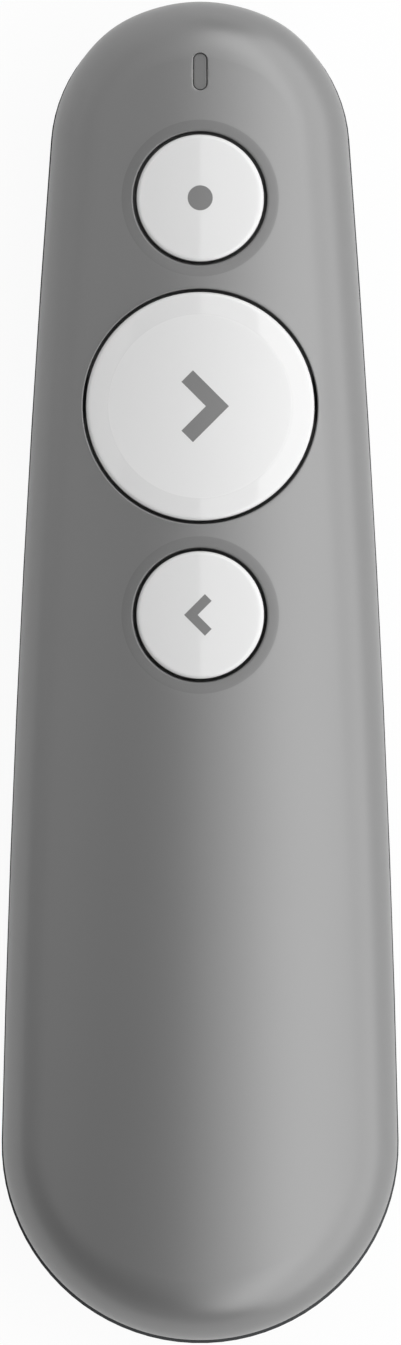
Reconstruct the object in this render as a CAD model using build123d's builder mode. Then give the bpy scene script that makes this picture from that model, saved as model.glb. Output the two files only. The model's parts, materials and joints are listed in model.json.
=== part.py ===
from build123d import *
import os
from math import asin, cos, degrees, pi, sin, sqrt, tan

os.makedirs("parts", exist_ok=True)

# A hand-held presentation clicker, lying on its underside. Millimetres.
# +Z is up through the buttons, +Y runs to the laser nose, +X is to the right.

# ---------------------------------------------------------------- driving dimensions

# Case outline: a small nose circle and a larger tail circle joined by long flanks
case_length = 122.0
nose_radius = 13.6
tail_radius = 18.05
flank_radius = 1700.0
wall = 1.6
parting_height = 11.5
seat_gap = 0.03
flat_slope = 0.01
cover_side_step = 0.17
cover_nose_step = 0.2
cover_tail_step = 0.58

# Crowned top of the cover: one arc across, carried round a long arc lengthways
crown_peak = 24.0
crown_peak_y = -8.0
crown_cross_radius = 38.0
crown_long_radius = 650.0
crown_edge_fillet = 6.0

# Underside: a flat strip to rest on, rolled up at the sides and towards both ends
keel_flat_width = 14.0
keel_flat_nose_y = 14.0
keel_tail_margin = 13.0
keel_side_radius = 50.0
keel_nose_radius = 300.0
keel_tail_radius = 45.0
keel_edge_fillet = 4.0

# Lip of the lower shell that locates the cover
lip_gap = 0.1
lip_thickness = 0.8
lip_height = 1.2

# Buttons, set back from the nose tip
laser_button_setback = 18.29
button_pitch = 18.77
small_cap_radius = 5.74
large_cap_radius = 10.29
button_gap = 0.28
button_rise = 0.35
button_travel = 0.6
cap_edge_fillet = 0.35
cap_wall = 1.0
flange_width = 1.2
flange_thickness = 0.8
flange_gap = 0.15
recess_width = 1.03
recess_depth = 0.4
dish_radius = 8.27
dish_depth = 0.3
inlay_depth = 0.5
circle_steps = 24
dot_radius = 1.13
large_arrow_height = 6.48
large_arrow_stroke = 1.47
large_arrow_tip = 2.59
small_arrow_height = 3.75
small_arrow_stroke = 0.865
small_arrow_tip = 1.45
cap_roof = 1.2
cap_boss_radius = 2.2

# Light slit near the nose
slit_setback = 6.84
slit_width = 1.29
slit_length = 3.39
pipe_gap = 0.08
pipe_recess = 0.3
pipe_foot_width = 3.4
pipe_foot_length = 5.0
pipe_foot_thickness = 0.8
pipe_foot_drop = 0.95
pipe_led_gap = 0.3

# Circuit board and what it carries
board_thickness = 1.2
board_margin = 3.4
board_half_width = 11.0
board_tail_overlap = 27.0
board_rest_height = 0.3
switch_size = 6.0
switch_height = 3.1
switch_corner = 0.4
switch_bore_floor_gap = 0.2
stem_radius = 1.7
stem_proud = 0.9
stem_gap = 0.05
stem_insert = 1.8
led_size = (1.6, 0.9, 0.6)
chip_size = (6.0, 6.0, 0.9)
chip_setback = 10.0
crystal_size = (3.2, 2.5, 0.8)
crystal_x = 7.8
crystal_setback = 13.0
antenna_size = (8.0, 2.0, 0.6)
antenna_setback = 3.0
capacitor_size = (1.0, 1.8, 0.9)
capacitor_pitch = 2.2
capacitor_count = 4

# Laser module under the board
laser_height = 10.3
barrel_radius = 3.2
barrel_length = 12.5
barrel_wall = 0.7
barrel_window_gap = 0.6
lens_thickness = 1.2
lens_sag = 0.5
lens_setback = 1.0
diode_can_radius = 1.6
diode_length = 3.2
lead_radius = 0.25
lead_pitch = 1.27
lead_length = 3.0
window_radius = 2.4
window_flange_radius = 3.2
window_flange_thickness = 0.7
window_recess = 0.45
window_gap = 0.06
saddle_wall = 1.4
saddle_length = 2.0
saddle_inset = 2.2

# Two AAA cells side by side, their bay and its door
cell_radius = 5.1
cell_length = 43.5
cell_nub_radius = 1.9
cell_nub_length = 0.9
cell_sleeve = 0.15
cell_pitch = 11.2
cell_side_gap = 0.45
cell_door_gap = 0.45
bay_tail_setback = 22.5
bay_wall = 1.0
bay_roof = 0.8
spring_space = 3.6
plate_thickness = 0.4
plate_gap = 0.05
plate_width = 8.4
plate_height = 6.4
plate_rise = 1.0
tab_width = 1.6
tab_slot_gap = 0.15
spring_wire_radius = 0.25
spring_base_radius = 2.5
spring_pitch = 0.95
spring_cone_angle = -15.0
spring_gap = 0.05
ledge_width = 1.4
roof_rail_width = 1.2
roof_rail_pitch = 14.0
ledge_thickness = 1.0
door_gap = 0.15
door_overlap = 1.3
door_corner = 2.0
toe_width = 1.1
toe_side_gap = 0.15
toe_leg = 1.0
toe_reach = 0.9
toe_lift = 0.4
toe_thickness = 0.8
toe_slot_gap = 0.4
latch_width = 9.0
latch_thickness = 0.9
latch_height = 1.9
latch_gap = 0.2
thumb_notch_radius = 6.0
thumb_notch_reach = 2.2
thumb_notch_depth = 0.8
grip_count = 4
grip_pitch = 1.6
grip_width = 0.6
grip_length = 9.0
grip_depth = 0.25

# Radio receiver stowed in the tail, plug first
plug_width = 12.0
plug_height = 4.5
plug_length = 12.0
plug_shell = 0.3
plug_hole_size = 2.2
plug_hole_pitch = 5.0
plug_hole_setback = 6.5
tongue_thickness = 1.9
tongue_gap = 0.35
pad_size = (1.0, 7.5, 0.12)
pad_pitch = 2.4
pad_count = 4
receiver_width = 14.2
receiver_height = 6.6
receiver_corner = 1.2
receiver_bottom = 3.1
receiver_body_length = 8.0
receiver_gap = 0.2
receiver_flush = 0.25
rib_count = 4
rib_pitch = 1.3
rib_width = 0.6
rib_height = 0.3
slot_wall = 0.8
finger_window_width = 9.0
finger_window_length = 5.2
finger_window_setback = 3.2

# Screws
case_screw_radius = 1.0
case_screw_length = 11.0
case_screw_head_radius = 1.9
case_screw_head_height = 1.2
case_screw_pocket_gap = 0.25
case_boss_radius = 2.6
cover_boss_radius = 2.2
boss_joint_gap = 0.1
board_notch_gap = 0.3
nose_screw_setback = 23.4
nose_screw_x = 9.6
tail_screw_setback = 15.5
tail_screw_x = 12.2
screw_seat_height = 4.0
drive_radius = 0.75
drive_depth = 0.6
drive_slot_width = 0.4
board_screw_radius = 0.8
board_screw_length = 4.2
board_screw_head_radius = 1.5
board_screw_head_height = 0.8
board_screw_x = 9.0
board_screw_setback = 4.6
board_boss_radius = 1.9

# ---------------------------------------------------------------- derived places

form_height = crown_peak + crown_edge_fillet
nose_tip = case_length / 2
tail_tip = -case_length / 2
nose_centre_y = nose_tip - nose_radius
tail_centre_y = tail_tip + tail_radius
cover_nose_radius = nose_radius - cover_side_step
cover_nose_y = nose_tip - cover_nose_step - cover_nose_radius
cover_tail_radius = tail_radius - cover_side_step
cover_tail_y = tail_tip + cover_tail_step + cover_tail_radius
keel_flat_tail_y = tail_tip + keel_tail_margin

laser_button_y = nose_tip - laser_button_setback
next_button_y = laser_button_y - button_pitch
back_button_y = next_button_y - button_pitch
slit_y = nose_tip - slit_setback

cell_height = wall + cell_door_gap + cell_radius
bay_half_width = cell_pitch / 2 + cell_radius + cell_side_gap
bay_length = spring_space + cell_length + cell_nub_length + plate_thickness + plate_gap
bay_tail_y = tail_tip + bay_tail_setback
bay_nose_y = bay_tail_y + bay_length
bay_centre_y = (bay_tail_y + bay_nose_y) / 2
bay_ceiling = cell_height + cell_radius + cell_side_gap
bay_top = bay_ceiling + bay_roof
ledge_bottom = wall + door_gap
ledge_top = ledge_bottom + ledge_thickness
door_half_width = bay_half_width + door_overlap
door_tail_y = bay_tail_y - door_overlap
door_nose_y = bay_nose_y + door_overlap

board_bottom = bay_top + board_rest_height
board_top = board_bottom + board_thickness
board_tail_y = back_button_y - board_tail_overlap
switch_top = board_top + switch_height
stem_top = switch_top + stem_proud
switch_bore_depth = stem_insert + button_travel + switch_bore_floor_gap
pipe_bottom = board_top + led_size[2] + pipe_led_gap

window_front_y = nose_tip - window_recess
window_seat_y = nose_centre_y + sqrt((nose_radius - wall) ** 2 - window_flange_radius**2) - window_gap
window_back_y = window_seat_y - window_flange_thickness
barrel_nose_y = window_back_y - barrel_window_gap
barrel_tail_y = barrel_nose_y - barrel_length
diode_tail_y = barrel_tail_y - diode_length / 2
bore_radius = barrel_radius - barrel_wall

receiver_top = receiver_bottom + receiver_height
receiver_middle = (receiver_bottom + receiver_top) / 2
receiver_nose_y = tail_tip + receiver_body_length
plug_nose_y = receiver_nose_y + plug_length
slot_end_y = plug_nose_y + receiver_gap
slot_half_width = receiver_width / 2 + receiver_gap
slot_top = receiver_top + receiver_gap

nose_screw_y = nose_tip - nose_screw_setback
tail_screw_y = tail_tip + tail_screw_setback
screw_places = [
    (side * x, y)
    for x, y in ((nose_screw_x, nose_screw_y), (tail_screw_x, tail_screw_y))
    for side in (-1, 1)
]
boss_joint_height = parting_height + lip_height + lip_gap
board_screw_y = bay_nose_y + board_screw_setback
board_screw_places = [(side * board_screw_x, board_screw_y) for side in (-1, 1)]

# ---------------------------------------------------------------- shared forms


def outline(nose_r, nose_y, tail_r, tail_y, flank_r):
    """Closed outline of two end circles whose flanks are long arcs tangent to both."""
    span = nose_y - tail_y
    along = ((flank_r - tail_r) ** 2 - (flank_r - nose_r) ** 2 + span**2) / (2 * span)
    centre = Vector(-sqrt((flank_r - tail_r) ** 2 - along**2), tail_y + along)
    nose_touch = centre + (Vector(0, nose_y) - centre).normalized() * flank_r
    tail_touch = centre + (Vector(0, tail_y) - centre).normalized() * flank_r
    flank_mid = centre + ((nose_touch + tail_touch) / 2 - centre).normalized() * flank_r
    with BuildSketch() as plan:
        with BuildLine():
            right_flank = ThreePointArc(tail_touch, flank_mid, nose_touch)
            left_flank = mirror(right_flank, about=Plane.YZ)
            ThreePointArc(right_flank @ 1, (0, nose_y + nose_r), left_flank @ 1)
            ThreePointArc(right_flank @ 0, (0, tail_y - tail_r), left_flank @ 0)
        make_face()
    return plan.sketch


def cover_outline(inset):
    """Outline of the cover, moved inwards by inset."""
    nose_r = cover_nose_radius - inset
    tail_r = cover_tail_radius - inset
    return outline(nose_r, cover_nose_y, tail_r, cover_tail_y, flank_radius - inset)


def case_outline(inset):
    """Outline of the lower shell, moved inwards by inset."""
    nose_r = nose_radius - inset
    tail_r = tail_radius - inset
    return outline(nose_r, nose_centre_y, tail_r, tail_centre_y, flank_radius - inset)


def smooth_arc(start, corner, end, half_turn):
    """Exact circular arc as a rational curve, which leaves a revolved face no seam of its own."""
    return Bezier(start, corner, end, weights=(1.0, cos(half_turn), 1.0))


def crown_height(x, y, inset=0.0):
    """Height of the crowned top over a point, for the surface lying inset below it."""
    reach = crown_long_radius - crown_cross_radius + sqrt((crown_cross_radius - inset) ** 2 - x**2)
    return crown_peak - crown_long_radius + sqrt(reach**2 - (y - crown_peak_y) ** 2)


def upper_form(inset):
    """Solid between the parting plane and the crowned top, moved inwards by inset."""
    half_turn = degrees(asin(case_length / crown_long_radius))
    half_width = tail_radius + crown_edge_fillet
    cross_radius = crown_cross_radius - inset
    top = crown_long_radius - inset
    cross_turn = asin(half_width / cross_radius)
    shoulder = top - cross_radius + cross_radius * cos(cross_turn)
    corner = top - cross_radius + cross_radius / cos(cross_turn)
    axis_point = (0, crown_peak_y, crown_peak - crown_long_radius)
    start = Plane(axis_point, x_dir=(1, 0, 0), z_dir=(0, -1, 0)).rotated((half_turn, 0, 0))
    with BuildPart() as crown:
        with BuildSketch(start):
            with BuildLine():
                smooth_arc((-half_width, shoulder), (0, corner), (half_width, shoulder), cross_turn)
                Polyline(
                    (half_width, shoulder),
                    (half_width, crown_long_radius - form_height),
                    (-half_width, crown_long_radius - form_height),
                    (-half_width, shoulder),
                )
            make_face()
        revolve(axis=Axis(axis_point, (-1, 0, 0)), revolution_arc=2 * half_turn)
    with BuildPart() as form:
        with BuildSketch(Plane.XY.offset(parting_height)):
            add(cover_outline(inset))
        extrude(amount=form_height - parting_height)
        add(crown.part, mode=Mode.INTERSECT)
        rim = form.faces().sort_by(Axis.Z)[-1].edges()
        fillet(rim, crown_edge_fillet - inset)
    return form.part


def lower_form(inset):
    """Solid between the rolled-up underside and the parting plane, moved inwards by inset."""
    half_flat = keel_flat_width / 2
    half_width = tail_radius + keel_edge_fillet
    side_radius = keel_side_radius - inset
    turn = asin((half_width - half_flat) / side_radius)
    lift = keel_side_radius - side_radius * cos(turn)
    corner_x = half_flat + side_radius * tan(turn / 2)
    with BuildSketch(Plane.XZ.offset(-keel_flat_tail_y)) as section:
        with BuildLine():
            Line((-half_flat, inset), (half_flat, inset))
            right_roll = smooth_arc((half_flat, inset), (corner_x, inset), (half_width, lift), turn / 2)
            left_roll = mirror(right_roll, about=Plane.YZ)
            Polyline(right_roll @ 1, (half_width, form_height), (-half_width, form_height), left_roll @ 1)
        make_face()
    nose_section = section.sketch.moved(Location((0, keel_flat_nose_y - keel_flat_tail_y, 0)))
    nose_turn = degrees(asin(case_length / keel_nose_radius))
    tail_turn = degrees(asin((keel_tail_margin + wall) / (keel_tail_radius - form_height)))
    with BuildPart() as keel:
        extrude(section.sketch, amount=-(keel_flat_nose_y - keel_flat_tail_y))
        revolve(nose_section, Axis((0, keel_flat_nose_y, keel_nose_radius), (1, 0, 0)), nose_turn)
        revolve(section.sketch, Axis((0, keel_flat_tail_y, keel_tail_radius), (-1, 0, 0)), tail_turn)
    with BuildPart() as form:
        with BuildSketch(Plane.XY.offset(-keel_edge_fillet)):
            add(case_outline(inset))
        extrude(amount=parting_height + keel_edge_fillet)
        add(keel.part, mode=Mode.INTERSECT)
        # the rim is where the upright walls meet the underside: not at the parting plane, not upright
        walls = form.faces().filter_by(lambda face: abs(face.normal_at(face.center()).Z) < flat_slope)
        rim = walls.edges().filter_by(lambda edge: edge.center().Z < parting_height - keel_edge_fillet / 4)
        rim = rim.filter_by(Axis.Z, reverse=True)
        fillet(rim, keel_edge_fillet - inset)
    return form.part


# ---------------------------------------------------------------- building helpers


def block(size, centre, bottom, top, corner=0.0, mode=Mode.ADD):
    """Upright block between two heights, with its plan corners rounded."""
    with BuildSketch(Plane.XY.offset(bottom)) as plan:
        with Locations(centre):
            if corner:
                RectangleRounded(*size, corner)
            else:
                Rectangle(*size)
    extrude(plan.sketch, amount=top - bottom, mode=mode)


def post(radius, centre, bottom, top, mode=Mode.ADD):
    """Upright round post between two heights."""
    with BuildSketch(Plane.XY.offset(bottom)) as plan:
        with Locations(centre):
            Circle(radius)
    extrude(plan.sketch, amount=top - bottom, mode=mode)


def rod(radius, x, z, tail_y, nose_y, mode=Mode.ADD):
    """Round rod lying along Y."""
    with BuildSketch(Plane.XZ.offset(-nose_y)) as section:
        with Locations((x, z)):
            Circle(radius)
    extrude(section.sketch, amount=nose_y - tail_y, mode=mode)


def bar(size, x, z, tail_y, nose_y, corner=0.0, mode=Mode.ADD):
    """Rectangular bar lying along Y, with its long edges rounded."""
    with BuildSketch(Plane.XZ.offset(-nose_y)) as section:
        with Locations((x, z)):
            if corner:
                RectangleRounded(*size, corner)
            else:
                Rectangle(*size)
    extrude(section.sketch, amount=nose_y - tail_y, mode=mode)


def save(part, name):
    """Label a finished piece and write it."""
    part.label = name
    export_step(part, f"parts/{name}.step")


cover_outside = upper_form(0)
cover_inside = upper_form(wall)
cap_surface = upper_form(-button_rise)
dish_surface = upper_form(dish_depth - button_rise)
recess_surface = upper_form(recess_depth)
pipe_surface = upper_form(pipe_recess)
cover_core = upper_form(wall / 2)
case_outside = lower_form(0)
case_inside = lower_form(wall)
receiver_surface = lower_form(receiver_flush)

# ---------------------------------------------------------------- buttons


def ceiling_over(centre_y, radius):
    """Lowest height of the cover's inner face over a circle about a button."""
    turns = [2 * pi * step / circle_steps for step in range(circle_steps)]
    return min(crown_height(radius * cos(turn), centre_y + radius * sin(turn), wall) for turn in turns)


def button_cap(centre_y, cap_radius, inlay, dished):
    """Hollow cap whose top follows the crown, flanged under the cover, with a boss on its switch."""
    flange_radius = cap_radius + flange_width
    cup_radius = cap_radius - cap_wall
    flange_top = ceiling_over(centre_y, flange_radius) - flange_gap
    flange_bottom = flange_top - flange_thickness
    cup_top = crown_height(cup_radius, centre_y) + button_rise - cap_roof
    with BuildPart() as dish:
        post(dish_radius, (0, centre_y), cup_top, form_height)
        add(dish_surface, mode=Mode.SUBTRACT)
    with BuildPart() as cap:
        post(cap_radius, (0, centre_y), flange_bottom, form_height)
        add(cap_surface, mode=Mode.INTERSECT)
        fillet(cap.faces().sort_by(Axis.Z)[-1].edges(), cap_edge_fillet)
        post(flange_radius, (0, centre_y), flange_bottom, flange_top)
        post(cup_radius, (0, centre_y), flange_bottom, cup_top, mode=Mode.SUBTRACT)
        post(cap_boss_radius, (0, centre_y), stem_top, cup_top)
        if dished:
            add(dish.part, mode=Mode.SUBTRACT)
        add(inlay, mode=Mode.SUBTRACT)
    return cap.part


def inlay_of(profile, centre_y, surface, reach, rise):
    """Second-shot inlay flush with a cap's top, on a flat floor below the profile's lowest point."""
    floor = crown_height(reach, centre_y + reach) + rise - inlay_depth
    with BuildPart() as inlay:
        with BuildSketch(Plane.XY.offset(floor)):
            add(profile.moved(Location((0, centre_y))))
        extrude(amount=form_height - floor)
        add(surface, mode=Mode.INTERSECT)
    return inlay.part


def arrow(tip, height, stroke):
    """Open arrowhead pointing along +X, with square-cut ends and arms at 45 degrees."""
    half = height / 2
    cut = stroke / sqrt(2)
    with BuildSketch() as head:
        with BuildLine():
            arm = Polyline(
                (tip, 0),
                (tip - half, half),
                (tip - half - cut, half - cut),
                (tip - 2 * cut, 0),
            )
            mirror(arm, about=Plane.XZ)
        make_face()
    return head.sketch


with BuildSketch() as dot:
    Circle(dot_radius)
large_arrow = arrow(large_arrow_tip, large_arrow_height, large_arrow_stroke)
small_arrow = arrow(small_arrow_tip, small_arrow_height, small_arrow_stroke).rotate(Axis.Z, 180)

laser_button_dot = inlay_of(dot.sketch, laser_button_y, cap_surface, dot_radius, button_rise)
next_button_arrow = inlay_of(
    large_arrow, next_button_y, dish_surface, large_arrow_height / 2, button_rise - dish_depth
)
back_button_arrow = inlay_of(small_arrow, back_button_y, cap_surface, small_arrow_height / 2, button_rise)
laser_button = button_cap(laser_button_y, small_cap_radius, laser_button_dot, False)
next_button = button_cap(next_button_y, large_cap_radius, next_button_arrow, True)
back_button = button_cap(back_button_y, small_cap_radius, back_button_arrow, False)
save(laser_button, "laser_button")
save(next_button, "next_button")
save(back_button, "back_button")
save(laser_button_dot, "laser_button_dot")
save(next_button_arrow, "next_button_arrow")
save(back_button_arrow, "back_button_arrow")

# Push switches on the board, each with a stem that the cap's boss rests on
button_names = ["laser", "next", "back"]
button_ys = [laser_button_y, next_button_y, back_button_y]
for button_name, button_y in zip(button_names, button_ys):
    with BuildPart() as switch:
        block((switch_size, switch_size), (0, button_y), board_top, switch_top, switch_corner)
        bore_bottom = switch_top - switch_bore_depth
        post(stem_radius + stem_gap, (0, button_y), bore_bottom, switch_top, mode=Mode.SUBTRACT)
    save(switch.part, f"{button_name}_switch")
    with BuildPart() as stem:
        post(stem_radius, (0, button_y), switch_top - stem_insert, stem_top)
    save(stem.part, f"{button_name}_switch_stem")

# ---------------------------------------------------------------- top cover

with BuildPart() as cover_bosses:
    for screw_place in screw_places:
        post(cover_boss_radius, screw_place, boss_joint_height + boss_joint_gap, form_height)
    add(cover_core, mode=Mode.INTERSECT)

with BuildPart() as cover_recesses:
    for button_y in (laser_button_y, back_button_y):
        post(small_cap_radius + button_gap + recess_width, (0, button_y), parting_height, form_height)
    add(recess_surface, mode=Mode.SUBTRACT)

with BuildPart() as top_cover:
    add(cover_outside)
    add(cover_inside, mode=Mode.SUBTRACT)
    add(cover_bosses.part)
    for screw_place in screw_places:
        hole_top = screw_seat_height + case_screw_length + seat_gap
        post(case_screw_radius + seat_gap, screw_place, boss_joint_height, hole_top, mode=Mode.SUBTRACT)
    for button_y, cap_radius in zip(button_ys, (small_cap_radius, large_cap_radius, small_cap_radius)):
        post(cap_radius + button_gap, (0, button_y), parting_height, form_height, mode=Mode.SUBTRACT)
    add(cover_recesses.part, mode=Mode.SUBTRACT)
    with BuildSketch(Plane.XY.offset(parting_height)) as slit:
        with Locations((0, slit_y)):
            SlotOverall(slit_length, slit_width, rotation=90)
    extrude(slit.sketch, amount=form_height - parting_height, mode=Mode.SUBTRACT)
    rod(window_radius + window_gap, 0, laser_height, window_back_y, nose_tip, mode=Mode.SUBTRACT)
    rod(window_flange_radius + window_gap, 0, laser_height, barrel_nose_y, window_seat_y, mode=Mode.SUBTRACT)
save(top_cover.part, "top_cover")

# Light pipe: a clear bar in the slit, with a foot under the cover
with BuildPart() as led_light_pipe:
    with BuildSketch(Plane.XY.offset(pipe_bottom)) as slit:
        with Locations((0, slit_y)):
            SlotOverall(slit_length - 2 * pipe_gap, slit_width - 2 * pipe_gap, rotation=90)
    extrude(slit.sketch, amount=form_height - pipe_bottom)
    add(pipe_surface, mode=Mode.INTERSECT)
    foot_top = crown_height(0, slit_y, wall) - pipe_foot_drop
    foot_bottom = foot_top - pipe_foot_thickness
    block((pipe_foot_width, pipe_foot_length), (0, slit_y), foot_bottom, foot_top, switch_corner)
save(led_light_pipe.part, "led_light_pipe")

# Front window of the laser, clear, with a flange seated behind the nose wall
with BuildPart() as laser_window:
    rod(window_radius, 0, laser_height, window_back_y, window_front_y)
    fillet(laser_window.faces().sort_by(Axis.Y)[-1].edges(), window_gap)
    rod(window_flange_radius, 0, laser_height, window_back_y, window_seat_y)
save(laser_window.part, "laser_window")

# ---------------------------------------------------------------- bottom case

slot_length = slot_end_y - tail_tip
slot_centre_y = (slot_end_y + tail_tip) / 2
bay_outer = (2 * (bay_half_width + bay_wall), bay_length + 2 * bay_wall)
door_size = (2 * door_half_width, door_nose_y - door_tail_y)
ledge_outer = (door_size[0] + 2 * ledge_width, door_size[1] + 2 * ledge_width)
saddle_ys = (barrel_tail_y + saddle_inset, barrel_nose_y - saddle_inset)
toe_x = bay_half_width - toe_side_gap - toe_width / 2
toe_places = [(side * toe_x, bay_nose_y + bay_wall / 2) for side in (-1, 1)]
left_tab_x = -cell_pitch / 2
right_tab_x = cell_pitch / 2
nose_plate_y = bay_nose_y - plate_gap - plate_thickness / 2

with BuildPart() as case_space:
    add(case_outside)
    with BuildSketch(Plane.XY.offset(parting_height)):
        add(cover_outline(wall + lip_gap))
    extrude(amount=board_bottom - parting_height)

with BuildPart() as case_structure:
    block(bay_outer, (0, bay_centre_y), 0, bay_top)
    block(ledge_outer, (0, bay_centre_y), 0, ledge_top, door_corner)
    for rail_side in (-1, 1):
        rail_place = (rail_side * roof_rail_pitch / 2, (bay_nose_y + board_tail_y) / 2)
        block((roof_rail_width, bay_nose_y - board_tail_y), rail_place, bay_ceiling, board_bottom)
    block(
        (2 * (slot_half_width + slot_wall), slot_length + slot_wall),
        (0, slot_centre_y + slot_wall / 2),
        0,
        slot_top + slot_wall,
    )
    for screw_place in screw_places:
        post(case_boss_radius, screw_place, 0, boss_joint_height)
    for screw_place in board_screw_places:
        post(board_boss_radius, screw_place, 0, board_bottom)
    for saddle_y in saddle_ys:
        block((2 * (barrel_radius + saddle_wall), saddle_length), (0, saddle_y), 0, laser_height)
    add(case_space.part, mode=Mode.INTERSECT)

with BuildPart() as bottom_case:
    add(case_outside)
    add(case_inside, mode=Mode.SUBTRACT)
    # the rim is thickened inwards below the parting plane, and carries the lip
    with BuildSketch(Plane.XY.offset(parting_height - wall)) as rim_root:
        add(case_outline(wall / 2))
        add(cover_outline(wall + lip_gap + lip_thickness), mode=Mode.SUBTRACT)
    extrude(rim_root.sketch, amount=wall)
    with BuildSketch(Plane.XY.offset(parting_height - wall)) as lip:
        add(cover_outline(wall + lip_gap))
        add(cover_outline(wall + lip_gap + lip_thickness), mode=Mode.SUBTRACT)
    extrude(lip.sketch, amount=wall + lip_height)
    # the lip stops at either side of the laser window
    lip_break = (2 * (window_flange_radius + window_gap), nose_tip - barrel_nose_y)
    lip_break_place = (0, (nose_tip + barrel_nose_y) / 2)
    block(lip_break, lip_break_place, parting_height, boss_joint_height, mode=Mode.SUBTRACT)
    add(case_structure.part)
    # battery bay, its roof slots for the contact tabs, and the recess of its door
    block((2 * bay_half_width, bay_length), (0, bay_centre_y), 0, bay_ceiling, mode=Mode.SUBTRACT)
    recess = (door_size[0] + 2 * door_gap, door_size[1] + 2 * door_gap)
    block(recess, (0, bay_centre_y), 0, ledge_bottom, door_corner + door_gap, mode=Mode.SUBTRACT)
    for tab_x in (left_tab_x, right_tab_x):
        tab_slot = (tab_width + 2 * tab_slot_gap, plate_thickness + 2 * tab_slot_gap)
        block(tab_slot, (tab_x, nose_plate_y), bay_ceiling, board_bottom, mode=Mode.SUBTRACT)
    for toe_place in toe_places:
        toe_slot = (toe_width + 2 * toe_slot_gap, bay_wall)
        toe_slot_top = ledge_top + toe_lift + toe_thickness + toe_slot_gap
        block(toe_slot, toe_place, ledge_top, toe_slot_top, mode=Mode.SUBTRACT)
    # notch for a thumbnail at the door's tail edge
    notch_y = door_tail_y - door_gap - thumb_notch_reach + thumb_notch_radius
    post(thumb_notch_radius, (0, notch_y), 0, thumb_notch_depth, mode=Mode.SUBTRACT)
    # receiver slot, wide for its body and narrow for its plug, with a window for a fingertip
    slot_size = (receiver_width + 2 * receiver_gap, receiver_height + 2 * receiver_gap)
    plug_slot = (plug_width + 2 * receiver_gap, plug_height + 2 * receiver_gap)
    slot_nose_y = receiver_nose_y + receiver_gap
    bar(slot_size, 0, receiver_middle, tail_tip, slot_nose_y, receiver_corner, Mode.SUBTRACT)
    bar(plug_slot, 0, receiver_middle, receiver_nose_y, slot_end_y, mode=Mode.SUBTRACT)
    window_y = tail_tip + finger_window_setback + finger_window_length / 2
    window_size = (finger_window_width, finger_window_length)
    window_corner = finger_window_length / 2 - receiver_gap
    block(window_size, (0, window_y), 0, receiver_middle, window_corner, Mode.SUBTRACT)
    # laser barrel, its window, and the screw holes
    rod(barrel_radius + seat_gap, 0, laser_height, barrel_tail_y, barrel_nose_y, mode=Mode.SUBTRACT)
    rod(window_flange_radius + window_gap, 0, laser_height, barrel_nose_y, window_seat_y, mode=Mode.SUBTRACT)
    rod(window_radius + window_gap, 0, laser_height, window_back_y, nose_tip, mode=Mode.SUBTRACT)
    for screw_place in screw_places:
        pocket_radius = case_screw_head_radius + case_screw_pocket_gap
        post(pocket_radius, screw_place, 0, screw_seat_height, mode=Mode.SUBTRACT)
        post(case_screw_radius + seat_gap, screw_place, 0, boss_joint_height, mode=Mode.SUBTRACT)
    for screw_place in board_screw_places:
        hole_bottom = board_top - board_screw_length - seat_gap
        post(board_screw_radius + seat_gap, screw_place, hole_bottom, board_bottom, mode=Mode.SUBTRACT)
save(bottom_case.part, "bottom_case")

# ---------------------------------------------------------------- battery door

with BuildPart() as battery_door:
    block(door_size, (0, bay_centre_y), 0, wall, door_corner)
    add(case_outside, mode=Mode.INTERSECT)
    for grip_index in range(grip_count):
        grip_y = door_tail_y + grip_pitch * (grip_index + 2)
        block((grip_length, grip_width), (0, grip_y), 0, grip_depth, mode=Mode.SUBTRACT)
    # hooked toes at the nose edge
    toe_bottom = ledge_top + toe_lift
    toe_top = toe_bottom + toe_thickness
    leg_y = bay_nose_y - toe_slot_gap / 2 - toe_leg / 2
    toe_length = toe_leg + toe_slot_gap / 2 + toe_reach
    toe_y = leg_y - toe_leg / 2 + toe_length / 2
    for side in (-1, 1):
        block((toe_width, toe_leg), (side * toe_x, leg_y), wall, toe_top)
        block((toe_width, toe_length), (side * toe_x, toe_y), toe_bottom, toe_top)
    # springy tongue at the tail edge, drawn pressed in, with its barb over the ledge
    tongue_y = bay_tail_y + latch_gap + latch_thickness / 2
    block((latch_width, latch_thickness), (0, tongue_y), wall, wall + latch_height)
save(battery_door.part, "battery_door")

# ---------------------------------------------------------------- battery cells and contacts

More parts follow.
